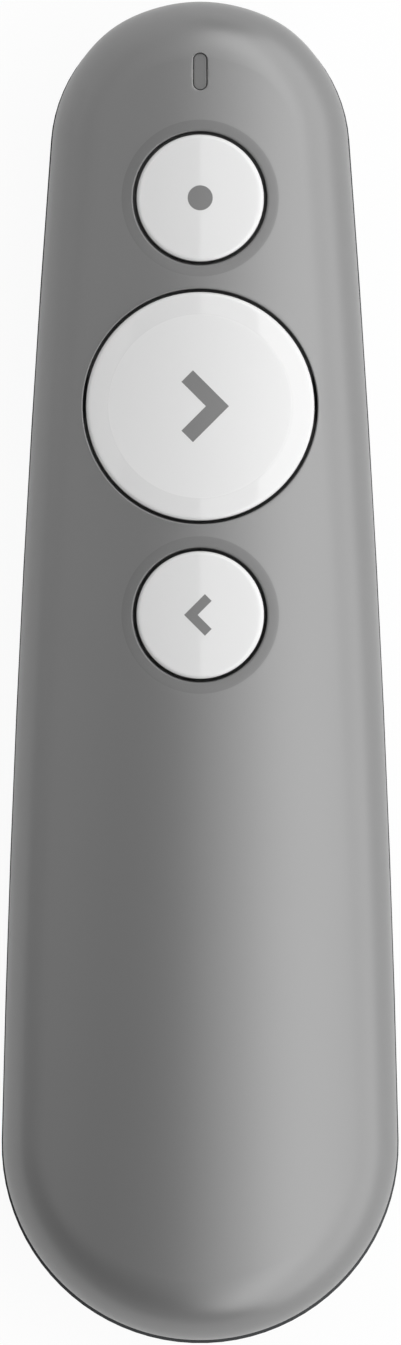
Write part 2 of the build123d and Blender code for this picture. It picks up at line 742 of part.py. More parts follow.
cell_sides = {"left": -1, "right": 1}
for side_name, side in cell_sides.items():
    # the left cell's nub points to the nose and the right cell's to the tail
    cell_x = side * cell_pitch / 2
    nub_end = bay_nose_y if side < 0 else bay_tail_y
    shoulder_y = nub_end + side * (plate_thickness + plate_gap + cell_nub_length)
    base_y = shoulder_y + side * cell_length
    can_span = sorted((shoulder_y, base_y))
    nub_span = sorted((shoulder_y, shoulder_y - side * cell_nub_length))
    sleeve_span = (can_span[0] + cell_sleeve, can_span[1] - cell_sleeve)
    with BuildPart() as cell_can:
        rod(cell_radius - cell_sleeve, cell_x, cell_height, *can_span)
        fillet(cell_can.edges().filter_by(GeomType.CIRCLE), cell_sleeve)
        rod(cell_nub_radius, cell_x, cell_height, *nub_span)
    save(cell_can.part, f"{side_name}_cell_can")
    with BuildPart() as cell_sleeve_tube:
        rod(cell_radius, cell_x, cell_height, *sleeve_span)
        inner_radius = cell_radius - cell_sleeve + seat_gap
        rod(inner_radius, cell_x, cell_height, *sleeve_span, mode=Mode.SUBTRACT)
    save(cell_sleeve_tube.part, f"{side_name}_cell_sleeve")
    # conical coil between the cell's base and its contact plate
    spring_plate_y = base_y + side * spring_space
    coil_height = spring_space - plate_thickness - plate_gap - 2 * (spring_gap + spring_wire_radius)
    coil_base_y = spring_plate_y - side * (plate_thickness + plate_gap + spring_gap + spring_wire_radius)
    with BuildPart() as battery_spring:
        with BuildLine():
            coil = Helix(
                spring_pitch,
                coil_height,
                spring_base_radius,
                center=(cell_x, coil_base_y, cell_height),
                direction=(0, -side, 0),
                cone_angle=spring_cone_angle,
            )
        with BuildSketch(Plane(origin=coil @ 0, z_dir=coil % 0)):
            Circle(spring_wire_radius)
        sweep(is_frenet=True)
    save(battery_spring.part, f"{side_name}_battery_spring")

plate_middle = cell_height + plate_rise
for side_name, tab_x in zip(cell_sides, (left_tab_x, right_tab_x)):
    with BuildPart() as nose_plate:
        plate_y = bay_nose_y - plate_gap - plate_thickness / 2
        plate_nose_y = plate_y + plate_thickness / 2
        bar((plate_width, plate_height), tab_x, plate_middle, plate_nose_y - plate_thickness, plate_nose_y)
        block((tab_width, plate_thickness), (tab_x, plate_y), plate_middle, board_bottom)
    save(nose_plate.part, f"{side_name}_contact_plate")

with BuildPart() as link_plate:
    bar(
        (cell_pitch + plate_width, plate_height),
        0,
        plate_middle,
        bay_tail_y + plate_gap,
        bay_tail_y + plate_gap + plate_thickness,
    )
    fillet(link_plate.edges().filter_by(Axis.Y), door_corner / 2)
save(link_plate.part, "link_plate")

# ---------------------------------------------------------------- circuit board

with BuildPart() as main_board:
    with BuildSketch(Plane.XY.offset(board_bottom)) as board_plan:
        add(cover_outline(board_margin))
        board_span = nose_tip - board_tail_y
        with Locations((0, (nose_tip + board_tail_y) / 2)):
            Rectangle(2 * board_half_width, board_span, mode=Mode.INTERSECT)
        with Locations(*[place for place in screw_places if place[1] > back_button_y]):
            Circle(cover_boss_radius + board_notch_gap, mode=Mode.SUBTRACT)
        with Locations(*board_screw_places):
            Circle(board_screw_radius + seat_gap, mode=Mode.SUBTRACT)
    extrude(board_plan.sketch, amount=board_thickness)
save(main_board.part, "main_board")

with BuildPart() as board_screws:
    for screw_place in board_screw_places:
        post(board_screw_radius, screw_place, board_top - board_screw_length, board_top)
        post(board_screw_head_radius, screw_place, board_top, board_top + board_screw_head_height)
        drive_floor = board_top + board_screw_head_height - drive_depth
        with BuildSketch(Plane.XY.offset(drive_floor)) as drive:
            with Locations(screw_place):
                RegularPolygon(drive_radius, 6)
        extrude(drive.sketch, amount=drive_depth, mode=Mode.SUBTRACT)
save(board_screws.part, "board_screws")

with BuildPart() as radio_chip:
    block(chip_size[:2], (0, next_button_y - chip_setback), board_top, board_top + chip_size[2])
    fillet(radio_chip.edges().filter_by(Axis.Z), switch_corner)
save(radio_chip.part, "radio_chip")

with BuildPart() as radio_crystal:
    crystal_centre = (crystal_x, board_screw_y - crystal_setback)
    block(crystal_size[:2], crystal_centre, board_top, board_top + crystal_size[2], switch_corner)
save(radio_crystal.part, "radio_crystal")

with BuildPart() as chip_antenna:
    antenna_centre = (0, board_tail_y + antenna_setback)
    block(antenna_size[:2], antenna_centre, board_top, board_top + antenna_size[2])
save(chip_antenna.part, "chip_antenna")

with BuildPart() as board_capacitors:
    for capacitor_index in range(capacitor_count):
        capacitor_y = board_screw_y - crystal_setback + (capacitor_index - 1) * capacitor_pitch
        block(capacitor_size[:2], (-crystal_x, capacitor_y), board_top, board_top + capacitor_size[2])
save(board_capacitors.part, "board_capacitors")

with BuildPart() as status_led:
    block(led_size[:2], (0, slit_y), board_top, board_top + led_size[2])
save(status_led.part, "status_led")

# ---------------------------------------------------------------- laser module

with BuildPart() as laser_barrel:
    rod(barrel_radius, 0, laser_height, barrel_tail_y, barrel_nose_y)
    rod(bore_radius, 0, laser_height, barrel_tail_y, barrel_nose_y, mode=Mode.SUBTRACT)
    chamfer(laser_barrel.edges().filter_by(GeomType.CIRCLE), barrel_wall / 4)
save(laser_barrel.part, "laser_barrel")

lens_front_y = barrel_nose_y - lens_setback
with BuildPart() as laser_lens:
    with BuildSketch(Plane.YZ) as lens_half:
        with BuildLine():
            rim_radius = bore_radius - seat_gap
            ThreePointArc(
                (lens_front_y, laser_height),
                (lens_front_y - lens_sag / 4, laser_height + rim_radius / 2),
                (lens_front_y - lens_sag, laser_height + rim_radius),
            )
            Polyline(
                (lens_front_y - lens_sag, laser_height + rim_radius),
                (lens_front_y - lens_thickness, laser_height + rim_radius),
                (lens_front_y - lens_thickness, laser_height),
                (lens_front_y, laser_height),
            )
        make_face()
    revolve(lens_half.sketch, Axis((0, 0, laser_height), (0, 1, 0)))
save(laser_lens.part, "laser_lens")

with BuildPart() as laser_diode:
    diode_nose_y = barrel_tail_y + diode_length
    rod(bore_radius - seat_gap, 0, laser_height, diode_tail_y + diode_length / 2, diode_nose_y)
    rod(diode_can_radius, 0, laser_height, diode_tail_y, diode_nose_y)
save(laser_diode.part, "laser_diode")

with BuildPart() as laser_leads:
    for lead_index in (-1, 0, 1):
        lead_x = lead_index * lead_pitch
        bend_y = diode_tail_y - lead_length
        with BuildLine() as lead_path:
            FilletPolyline(
                (lead_x, diode_tail_y, laser_height),
                (lead_x, bend_y, laser_height),
                (lead_x, bend_y, board_bottom),
                radius=4 * lead_radius,
            )
        lead_start = Plane(origin=(lead_x, diode_tail_y, laser_height), z_dir=(0, -1, 0))
        with BuildSketch(lead_start) as lead_section:
            Circle(lead_radius)
        sweep(lead_section.sketch, path=lead_path.line)
save(laser_leads.part, "laser_leads")

# ---------------------------------------------------------------- receiver

with BuildPart() as receiver_body:
    bar((receiver_width, receiver_height), 0, receiver_middle, tail_tip, receiver_nose_y, receiver_corner)
    add(receiver_surface, mode=Mode.INTERSECT)
    for rib_index in range(rib_count):
        rib_y = tail_tip + finger_window_setback + rib_pitch * (rib_index + 0.5)
        rib_top = receiver_bottom + rib_height
        block((finger_window_width, rib_width), (0, rib_y), receiver_bottom, rib_top, mode=Mode.SUBTRACT)
save(receiver_body.part, "receiver_body")

plug_inner = (plug_width - 2 * plug_shell, plug_height - 2 * plug_shell)
with BuildPart() as receiver_plug:
    bar((plug_width, plug_height), 0, receiver_middle, receiver_nose_y, plug_nose_y, plug_shell)
    bar(plug_inner, 0, receiver_middle, receiver_nose_y, plug_nose_y, mode=Mode.SUBTRACT)
    for hole_side in (-1, 1):
        hole_place = (hole_side * plug_hole_pitch / 2, receiver_nose_y + plug_hole_setback)
        block((plug_hole_size, plug_hole_size), hole_place, receiver_bottom, receiver_top, mode=Mode.SUBTRACT)
save(receiver_plug.part, "receiver_plug")

with BuildPart() as receiver_tongue:
    tongue_width = plug_inner[0] - 2 * plate_gap
    tongue_nose_y = plug_nose_y - tongue_gap
    tongue_middle = receiver_middle + tongue_thickness / 2
    bar((tongue_width, tongue_thickness), 0, tongue_middle, receiver_nose_y, tongue_nose_y)
save(receiver_tongue.part, "receiver_tongue")

with BuildPart() as receiver_contacts:
    for pad_index in range(pad_count):
        pad_x = (pad_index - (pad_count - 1) / 2) * pad_pitch
        pad_y = tongue_nose_y - pad_size[1] / 2 - 2 * tongue_gap
        block(pad_size[:2], (pad_x, pad_y), receiver_middle - pad_size[2], receiver_middle)
save(receiver_contacts.part, "receiver_contacts")

# ---------------------------------------------------------------- case screws

with BuildPart() as case_screws:
    for screw_place in screw_places:
        head_bottom = screw_seat_height - case_screw_head_height
        post(case_screw_head_radius, screw_place, head_bottom, screw_seat_height)
        post(case_screw_radius, screw_place, screw_seat_height, screw_seat_height + case_screw_length)
        with BuildSketch(Plane.XY.offset(head_bottom)) as drive:
            with Locations(screw_place):
                Rectangle(2 * drive_radius, drive_slot_width)
                Rectangle(drive_slot_width, 2 * drive_radius)
        extrude(drive.sketch, amount=drive_depth, mode=Mode.SUBTRACT)
save(case_screws.part, "case_screws")
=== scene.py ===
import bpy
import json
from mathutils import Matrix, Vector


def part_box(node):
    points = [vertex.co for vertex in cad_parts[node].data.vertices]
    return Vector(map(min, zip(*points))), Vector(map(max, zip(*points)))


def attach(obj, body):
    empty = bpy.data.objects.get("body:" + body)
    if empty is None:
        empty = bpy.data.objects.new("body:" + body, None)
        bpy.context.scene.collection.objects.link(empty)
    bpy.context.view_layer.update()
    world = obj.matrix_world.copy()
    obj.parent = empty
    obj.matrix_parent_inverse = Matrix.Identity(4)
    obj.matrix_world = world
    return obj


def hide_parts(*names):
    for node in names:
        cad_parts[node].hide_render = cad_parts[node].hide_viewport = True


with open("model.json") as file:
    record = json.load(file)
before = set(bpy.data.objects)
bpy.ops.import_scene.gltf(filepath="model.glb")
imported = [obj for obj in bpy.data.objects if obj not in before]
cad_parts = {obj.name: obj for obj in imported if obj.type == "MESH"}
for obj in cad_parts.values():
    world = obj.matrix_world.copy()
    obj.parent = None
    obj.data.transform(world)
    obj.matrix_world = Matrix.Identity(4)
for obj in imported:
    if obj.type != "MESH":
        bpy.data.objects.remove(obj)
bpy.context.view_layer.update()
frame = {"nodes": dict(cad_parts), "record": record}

import json
from math import atan2, pi, radians, sqrt, tan

import bmesh
import bpy
import numpy as np
from mathutils import Vector
from bpy.props import FloatProperty, FloatVectorProperty, PointerProperty

bl_info = {
    "name": "Presentation clicker",
    "version": (1, 0, 0),
    "blender": (4, 5, 0),
    "location": "View3D > Sidebar > Clicker",
    "description": "Makes the skins, finishes, lamps and camera of a presentation clicker",
    "category": "Object",
}

MM = 0.001
CASE_LOW, CASE_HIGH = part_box("bottom_case")
COVER_LOW, COVER_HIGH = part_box("top_cover")

# The buttons from the nose to the tail, each with the node of its inlay
INLAYS = {
    "laser": "laser_button_dot",
    "next": "next_button_arrow",
    "back": "back_button_arrow",
}


def middle_y(node):
    """Middle of a CAD node along the length of the clicker."""
    low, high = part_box(node)
    return (low.y + high.y) / 2


BUTTON_Y = {name: middle_y(f"{name}_switch") for name in INLAYS}
SLIT_Y = middle_y("led_light_pipe")

# Where the shoulders of the nose swell, and how widely, as directions in plan from the right
SHOULDER = radians(54)
SHOULDER_SPREAD = radians(15)

# The cells round the end holes reach this many times as far as the hole and its sunk ring
TAIL_CELL = 1.3
NOSE_CELL = 1.15

# How far past its width a sunk ring fades out, and how soft the end of its slope is
RING_FADE = 0.15 * MM
RING_EASE = 0.25

# Gaps and rims round the laser window and the lens of the light slit
WINDOW_GAP = 0.06 * MM
SLIT_GAP = 0.03 * MM
LENS_EDGE = 0.1 * MM

# The block that cuts the slit: how far it reaches below the cover's top, above it, and outwards
CUTTER_WALLS = 3
CUTTER_RISE = 0.5 * MM
CUTTER_SPREAD = 2 * MM

# The hidden part of a cap: its flange, the cup in it and the boss that stands on the stem
FLANGE = 0.8 * MM
CAP_SIDE = 1.0 * MM
CAP_TOP = 1.2 * MM
BOSS_RADIUS = 2.2 * MM

# Which faces get which finish: how near a hole its wall lies, how far below a cap's top the
# first shot begins, and how deep the dish's satin skin goes
HOLE_WALL = 0.01 * MM
FIRST_SHOT = 1.1 * MM
DISH_SKIN = 0.05 * MM

# How finely the surfaces are divided: along the outline, with a finer stretch up to the nose
# tip, then down a wall, round a rolled edge, across a face and round a button
STATION_SPACING = 0.3 * MM
FINE_LENGTH = 3 * MM
FINE_STATIONS = 20
WALL_STEPS = 4
ARC_STEPS = 12
ACROSS = 49
TURNS = 128

# The same for rims, a sunk ring, a cap's face, its dish and the land round that, the dot, an
# arrowhead's arms and their stroke, and the slit's lens
RIM_STEPS = 5
CAP_RIM_STEPS = 7
RING_STEPS = 12
CAP_STEPS = 40
DISH_STEPS = 32
LAND_STEPS = 9
DOT_STEPS = 8
ARM_STEPS = 25
STROKE_STEPS = 7
LENS_STEPS = 6

# Points nearer than this are one, and edges that bend by more than this stay sharp
WELD = 0.0002 * MM
CREASE = radians(28)

# How far the grain moves the roughness either way, and how large the mottle is
ROUGHNESS_SPREAD = 0.04
MOTTLE_SIZE = 7 * MM

# Lamps, named as their radiance is in ClickerStage: bearing from the right-hand side and the
# two angles off the upright that each spans, in degrees, then its length in metres
LAMPS = {
    "strip": (0, 0, 16, 5.0),
    "shine": (0, 16, 40, 5.0),
    "key": (0, 40, 89, 5.0),
    "fill": (135, 20, 89, 2.4),
}
LAMP_DISTANCE = 1.2

# Floor: half its width in metres, its height, the colour of its paint, and the share of full
# white that it shows to the camera and in sheens
FLOOR_REACH = 2.5
FLOOR_LEVEL = -0.01 * MM
FLOOR_PAINT = 0.8
FLOOR_WHITE = 0.94
FLOOR_SHEEN = 0.4

# Sines of the angles above the horizon at which the walls end and the ceiling begins
WALLS_END = 0.2
CEILING_START = 0.5

# How far the camera stands off the middle, and how near and far it sees
CAMERA_X = 0.03 * MM
CAMERA_RANGE = (0.01, 20)


# ------------------------------------------------------------------ properties


def length(name, description, default):
    """A length property, in metres."""
    return FloatProperty(
        name=name, description=description, default=default, subtype="DISTANCE", unit="LENGTH"
    )


def radiance(name, description, default):
    """A property for how bright a lamp or the room is."""
    return FloatProperty(name=name, description=description, default=default, min=0)


def linear(code):
    """Linear colour of an sRGB hex value."""
    channels = np.array([int(code[i : i + 2], 16) for i in (0, 2, 4)]) / 255
    low = channels / 12.92
    high = ((channels + 0.055) / 1.055) ** 2.4
    return tuple(np.where(channels <= 0.04045, low, high))


def colour(name, description, code):
    """A colour property whose default is an sRGB hex value."""
    kind = {"subtype": "COLOR", "size": 3, "min": 0, "max": 1}
    return FloatVectorProperty(name=name, description=description, default=linear(code), **kind)


class ClickerSizes(bpy.types.PropertyGroup):
    """Sizes of the visible shells and buttons."""

    nose_tip: length("Nose tip", "Foremost point of the lower shell", CASE_HIGH.y)
    tail_tip: length("Tail tip", "Rearmost point of the lower shell", CASE_LOW.y)
    nose_radius: length("Nose radius", "Radius of the nose in plan", 13.6 * MM)
    tail_radius: length("Tail radius", "Radius of the tail in plan", 18.05 * MM)
    flank_radius: length("Flank radius", "Radius of the long flanks in plan", 1700 * MM)
    wall: length("Wall", "Thickness of the cover", 1.6 * MM)
    parting: length("Parting height", "Height at which the shells meet", COVER_LOW.z)
    side_step: length("Side step", "How far the lower shell stands out at its flanks", 0.17 * MM)
    nose_step: length("Nose step", "How far the lower shell stands out at its nose", 0.2 * MM)
    nose_fullness: length("Nose fullness", "How far the cover's shoulders swell", 0.15 * MM)
    tail_step: length("Tail step", "How far the lower shell stands out at its tail", 0.58 * MM)
    crown_peak: length("Crown peak", "Highest point of the cover", COVER_HIGH.z)
    crown_peak_y: length("Crown peak place", "Where along the length that point is", -8 * MM)
    crown_cross_radius: length("Cross radius", "Radius of the crown from side to side", 38 * MM)
    crown_long_radius: length("Long radius", "Radius of the crown from nose to tail", 650 * MM)
    crown_edge: length("Crown edge", "Rolling radius between the crown and the walls", 6 * MM)
    small_cap: length("Small cap radius", "Radius of the laser and back caps", 5.74 * MM)
    large_cap: length("Large cap radius", "Radius of the next cap", 10.29 * MM)
    button_gap: length("Button gap", "Gap round each cap", 0.28 * MM)
    button_rise: length("Button rise", "How far the caps stand above the crown", 0.35 * MM)
    cap_edge: length("Cap edge", "Radius of the rim of a cap", 0.35 * MM)
    hole_edge: length("Hole edge", "Radius of the rim of a button hole", 0.15 * MM)
    recess_width: length("Recess width", "Width of the sunk ring round the small caps", 1.03 * MM)
    recess_depth: length("Recess depth", "Depth of that ring at the hole", 0.1 * MM)
    dish_radius: length("Dish radius", "Radius of the dish in the next cap", 8.27 * MM)
    dish_depth: length("Dish depth", "Depth of the dish in the next cap", 0.3 * MM)
    dot_radius: length("Dot radius", "Radius of the laser cap's dot", 1.13 * MM)
    slit_width: length("Slit width", "Width of the light slit", 1.296 * MM)
    slit_length: length("Slit length", "Length of the light slit", 3.39 * MM)
    slit_edge: length("Slit edge", "Radius of the slit's rim", 0.08 * MM)
    slit_recess: length("Slit recess", "How deep the slit's lens lies", 0.22 * MM)
    window_radius: length("Window radius", "Radius of the laser window", 2.4 * MM)
    window_height: length("Window height", "Height of the laser beam", 10.3 * MM)


class ClickerColours(bpy.types.PropertyGroup):
    """Colours of the visible plastics."""

    cover: colour("Cover", "Mid grey of the lacquered cover", "818181")
    # the sunk rings' grey is painted shade: darker than the cover's, to stand for the shade in the
    # recess
    ring: colour("Sunk rings", "Grey of the cover painted darker in the sunk rings as shade", "777777")
    case: colour("Lower shell", "Charcoal of the lower shell", "37393b")
    button: colour("Buttons", "White of the caps", "d0d0d0")
    inlay: colour("Inlays", "Grey of the dot and arrowheads", "727272")
    slit: colour("Light slit", "Smoke tint of the slit's lens", "747474")


class ClickerStage(bpy.types.PropertyGroup):
    """Lamps, surroundings and camera."""

    lens: FloatProperty(
        name="Lens",
        description="Focal length in millimetres",
        default=300.0,
        subtype="DISTANCE_CAMERA",
        unit="CAMERA",
    )
    margin: length("Margin", "Length that the frame shows beside the clicker's own", 0.32 * MM)
    strip: radiance("Strip", "Radiance of the strip overhead", 1.2)
    shine: radiance("Shine", "Radiance of the lamp high on the right", 2.7)
    key: radiance("Key", "Radiance of the broad lamp low on the right", 1.75)
    fill: radiance("Fill", "Radiance of the lamp beyond the nose, on the left", 0.57)
    walls: radiance("Walls", "Radiance of the walls all round", 0.3)
    ceiling: radiance("Ceiling", "Radiance of the ceiling between the lamps", 0.02)


# ------------------------------------------------------------------ surfaces


def unit(vectors):
    """Vectors scaled to length one."""
    return vectors / np.linalg.norm(vectors, axis=-1, keepdims=True)


def crown(sizes, x, y, inset=0.0):
    """Height and normal of the crowned top, or of the surface that lies inset below it.

    An arc runs across, and is carried round a long arc lengthways: the height is the long
    circle's, whose radius at each x is shortened by as much as the cross arc has dropped.
    """
    across = np.sqrt((sizes.crown_cross_radius - inset) ** 2 - x**2)
    reach = sizes.crown_long_radius - sizes.crown_cross_radius + across
    along = y - sizes.crown_peak_y
    rise = np.sqrt(reach**2 - along**2)
    height = sizes.crown_peak - sizes.crown_long_radius + rise
    slopes = [reach * x / (rise * across), along / rise, np.ones_like(rise)]
    return height, unit(np.stack(slopes, axis=-1))


def cover_outline(sizes):
    """Points and outward directions along the right half of the cover's outline, tail to nose.

    Two end circles are joined by a long arc that touches both from inside, so the outward
    direction turns steadily from tail to nose, and each point is its arc's centre plus the
    arc's radius in that direction, and at the shoulders of the nose a little more, which
    swells and fades as a bell curve does. Points are evenly spaced, and closer near the tip.
    """
    nose_r = sizes.nose_radius - sizes.side_step
    tail_r = sizes.tail_radius - sizes.side_step
    nose_y = sizes.nose_tip - sizes.nose_step - nose_r
    tail_y = sizes.tail_tip + sizes.tail_step + tail_r
    flank = sizes.flank_radius
    span = nose_y - tail_y
    # the flank's centre lies as far from each end's centre as its radius exceeds that end's
    along = ((flank - tail_r) ** 2 - (flank - nose_r) ** 2 + span**2) / (2 * span)
    flank_x = -sqrt((flank - tail_r) ** 2 - along**2)
    flank_y = tail_y + along
    turns = [-pi / 2, atan2(tail_y - flank_y, -flank_x), atan2(nose_y - flank_y, -flank_x), pi / 2]
    radii = [tail_r, flank, nose_r]
    lengths = np.concatenate([[0], np.cumsum(radii * np.diff(turns))])
    fine_start = lengths[-1] - FINE_LENGTH
    coarse = np.linspace(0, fine_start, round(fine_start / STATION_SPACING))
    stations = np.concatenate([coarse, np.linspace(fine_start, lengths[-1], FINE_STATIONS)[1:]])
    turn = np.interp(stations, lengths, turns)
    outward = np.stack([np.cos(turn), np.sin(turn)], axis=-1)
    outward[[0, -1], 0] = 0
    part = np.searchsorted(turns[1:3], turn)
    centres = np.array([[0, tail_y], [flank_x, flank_y], [0, nose_y]])
    swell = sizes.nose_fullness * np.exp(-(((turn - SHOULDER) / SHOULDER_SPREAD) ** 2))
    points = centres[part] + (np.array(radii)[part] + swell)[:, None] * outward
    return points, outward


def rolled_edge(sizes, outline, level, inset):
    """Columns of points up a wall, round its edge and onto the crown, all inset from the outside.

    A ball of the edge's radius rolls along inside the outline and against the crown: its
    centre lies one radius in from both. Each column runs from level along the wall to the
    ball, then round it by turning the wall's direction evenly into the crown's normal.
    """
    points, outward = outline
    radius = sizes.crown_edge
    ball = points - radius * outward
    height, normal = crown(sizes, ball[:, 0], ball[:, 1], radius)
    centre = np.concatenate([ball, height[:, None]], axis=1)[:, None]
    start = np.concatenate([outward, np.zeros((len(outward), 1))], axis=1)
    turn = np.arccos(np.sum(start * normal, axis=1))[:, None]
    share = np.linspace(0, 1, ARC_STEPS + 1)
    towards = np.sin((1 - share) * turn)[..., None] * start[:, None]
    towards = towards + np.sin(share * turn)[..., None] * normal[:, None]
    towards = towards / np.sin(turn)[..., None]
    arc = centre + (radius - inset) * towards
    foot = arc[:, :1].copy()
    foot[:, 0, 2] = level
    down = np.linspace(0, 1, WALL_STEPS + 1)[:-1, None]
    return np.concatenate([foot + down * (arc[:, :1] - foot), arc], axis=1)


def mirrored(half):
    """A closed ring: the right half from tail to nose, then its mirror image back to the tail."""
    return np.concatenate([half, (half * [-1, 1, 1])[-2:0:-1]])


def laid_across(edge, height):
    """Rows that run from an edge to its mirror image, at the height that a function gives."""
    x = edge[:, :1] * np.linspace(1, -1, ACROSS)
    y = np.broadcast_to(edge[:, 1:2], x.shape)
    return np.stack([x, y, height(x, y)], axis=-1)


def cell_loop(edge, first, last):
    """Closed loop in plan round the stretch of a face between two stations of its edge.

    It runs up the right edge, straight across, down the left edge and straight back. At the
    nose tip the edges meet, so there it has no line across.
    """
    right = edge[first : last + 1, :2]
    left = right[::-1] * [-1, 1]
    share = np.linspace(0, 1, ACROSS)[:-1, None]
    sides = [right[:-1]]
    if last < len(edge) - 1:
        sides.append(right[-1] + share * (left[0] - right[-1]))
    sides.append(left[:-1])
    sides.append(left[-1] + share * (right[0] - left[-1]))
    return np.concatenate(sides)


def holed_cell(loop, place_y, radius, offsets, height, drop):
    """Grid between a round hole and the loop round it.

    Each column runs from the hole straight to its point of the loop, seen from the hole's
    centre. Its first points lie at fixed offsets from the hole's edge, where drop lowers them.
    """
    out = loop - [0, place_y]
    reach = np.linalg.norm(out, axis=1)[:, None]
    near = np.broadcast_to(radius + offsets, (len(loop), len(offsets)))
    far = near[:, -1:] + (reach - near[:, -1:]) * np.linspace(0, 1, ARC_STEPS)[1:]
    plan = [0, place_y] + np.concatenate([near, far], axis=1)[..., None] * unit(out)[:, None]
    z = height(plan[..., 0], plan[..., 1])
    z[:, : len(offsets)] -= drop
    return np.concatenate([plan, z[..., None]], axis=-1)


def turned(rho, z, centre_y, follow=None, start=0.0):
    """Profile of radii and heights turned about an upright axis.

    The angles step evenly round from start. Where follow is given, it adds a height over x
    and y, so that the profile follows a surface.
    """
    turn = start + np.linspace(0, 2 * pi, TURNS, endpoint=False)[:, None]
    x = rho * np.cos(turn)
    y = centre_y + rho * np.sin(turn)
    height = np.broadcast_to(z, x.shape) + (0 if follow is None else follow(x, y))
    return np.stack([x, y, height], axis=-1)


def slot_rings(sizes, rho, z, inset):
    """Profile of radii and heights carried round the slit, on the surface inset below the crown.

    It turns about an upright axis that jumps along the slit's spine from one end to the other
    between the half turns. No angle falls on the jump, because they start half a step round.
    """
    turn = np.linspace(0, 2 * pi, TURNS, endpoint=False)[:, None] + pi / TURNS
    half = (sizes.slit_length - sizes.slit_width) / 2
    x = rho * np.cos(turn)
    y = SLIT_Y + np.sign(np.sin(turn)) * half + rho * np.sin(turn)
    return np.stack([x, y, z + crown(sizes, x, y, inset)[0]], axis=-1)


def quarter(radius, steps=RIM_STEPS):
    """Distance in from an edge and depth below it, round a quarter circle from wall to face."""
    turn = np.linspace(0, pi / 2, steps)
    return radius * (1 - np.cos(turn)), radius * (1 - np.sin(turn))


def border(grid):
    """Closed loop of the points along the border of a grid."""
    return np.concatenate([grid[:-1, 0], grid[-1, :-1], grid[:0:-1, -1], grid[0, :0:-1]])


def cap_radius(sizes, name):
    """Radius of a button's cap: the next cap is the large one."""
    return sizes.large_cap if name == "next" else sizes.small_cap


# ------------------------------------------------------------------ meshes


def quads(grid, wrap):
    """Corner numbers of a grid's quads; with wrap, its last row is joined to its first."""
    index = np.arange(grid.shape[0] * grid.shape[1]).reshape(grid.shape[:2])
    if wrap:
        index = np.concatenate([index, index[:1]])
    corners = [index[:-1, :-1], index[1:, :-1], index[1:, 1:], index[:-1, 1:]]
    return np.stack(corners, axis=-1).reshape(-1, 4)


def sew(name, patches):
    """Object of several grids of points, welded where they meet, with its faces turned outwards."""
    points, faces, count = [], [], 0
    for grid, wrap in patches:
        points.append(grid.reshape(-1, 3))
        faces.append(quads(grid, wrap) + count)
        count += len(points[-1])
    mesh = bpy.data.meshes.new(name)
    mesh.from_pydata(np.concatenate(points), [], np.concatenate(faces).tolist())
    shape = bmesh.new()
    shape.from_mesh(mesh)
    bmesh.ops.remove_doubles(shape, verts=shape.verts, dist=WELD)
    bmesh.ops.dissolve_degenerate(shape, edges=shape.edges, dist=WELD / 10)
    bmesh.ops.recalc_face_normals(shape, faces=shape.faces)
    loose = sum(not edge.is_manifold for edge in shape.edges)
    shape.to_mesh(mesh)
    shape.free()
    if loose:
        raise RuntimeError(f"{name} has {loose} open edges")
    piece = bpy.data.objects.new(name, mesh)
    bpy.context.scene.collection.objects.link(piece)
    return piece


def cut(piece, tool):
    """Takes a closed tool's shape out of a piece, and removes the tool.

    The many-sided faces that this leaves are cut into even triangles, so that none folds up.
    """
    change = piece.modifiers.new("cut", "BOOLEAN")
    change.operation = "DIFFERENCE"
    change.solver = "MANIFOLD"
    change.object = tool
    graph = bpy.context.evaluated_depsgraph_get()
    made = bpy.data.meshes.new_from_object(piece.evaluated_get(graph))
    piece.modifiers.clear()
    piece.data = made
    made.name = piece.name
    shape = bmesh.new()
    shape.from_mesh(made)
    many = [face for face in shape.faces if len(face.verts) > 4]
    bmesh.ops.triangulate(shape, faces=many, quad_method="BEAUTY", ngon_method="BEAUTY")
    shape.to_mesh(made)
    shape.free()
    bpy.data.meshes.remove(tool.data)


def finish_piece(piece, body, nodes, slot, *materials):
    """Smooths a finished piece between its creases, gives it its materials, attaches it to its body
    and hides the CAD nodes that it replaces.
    """
    piece.data.shade_smooth()
    piece.data.set_sharp_from_angle(angle=CREASE)
    piece.data.materials.clear()
    for material in materials:
        piece.data.materials.append(material)
    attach(piece, body)
    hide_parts(*nodes)


def face_centres(piece):
    """Middles of a piece's faces, as arrays of x, y and z."""
    centres = np.empty(len(piece.data.polygons) * 3)
    piece.data.polygons.foreach_get("center", centres)
    return centres.reshape(-1, 3).T


# ------------------------------------------------------------------ materials


def add_node(tree, kind, inputs=None, **settings):
    """Adds a shader node, with its settings, and its inputs given as values or as links."""
    node = tree.nodes.new(kind)
    for name, value in settings.items():
        setattr(node, name, value)
    for name, value in (inputs or {}).items():
        if isinstance(value, bpy.types.NodeSocket):
            tree.links.new(value, node.inputs[name])
        else:
            node.inputs[name].default_value = value
    return node


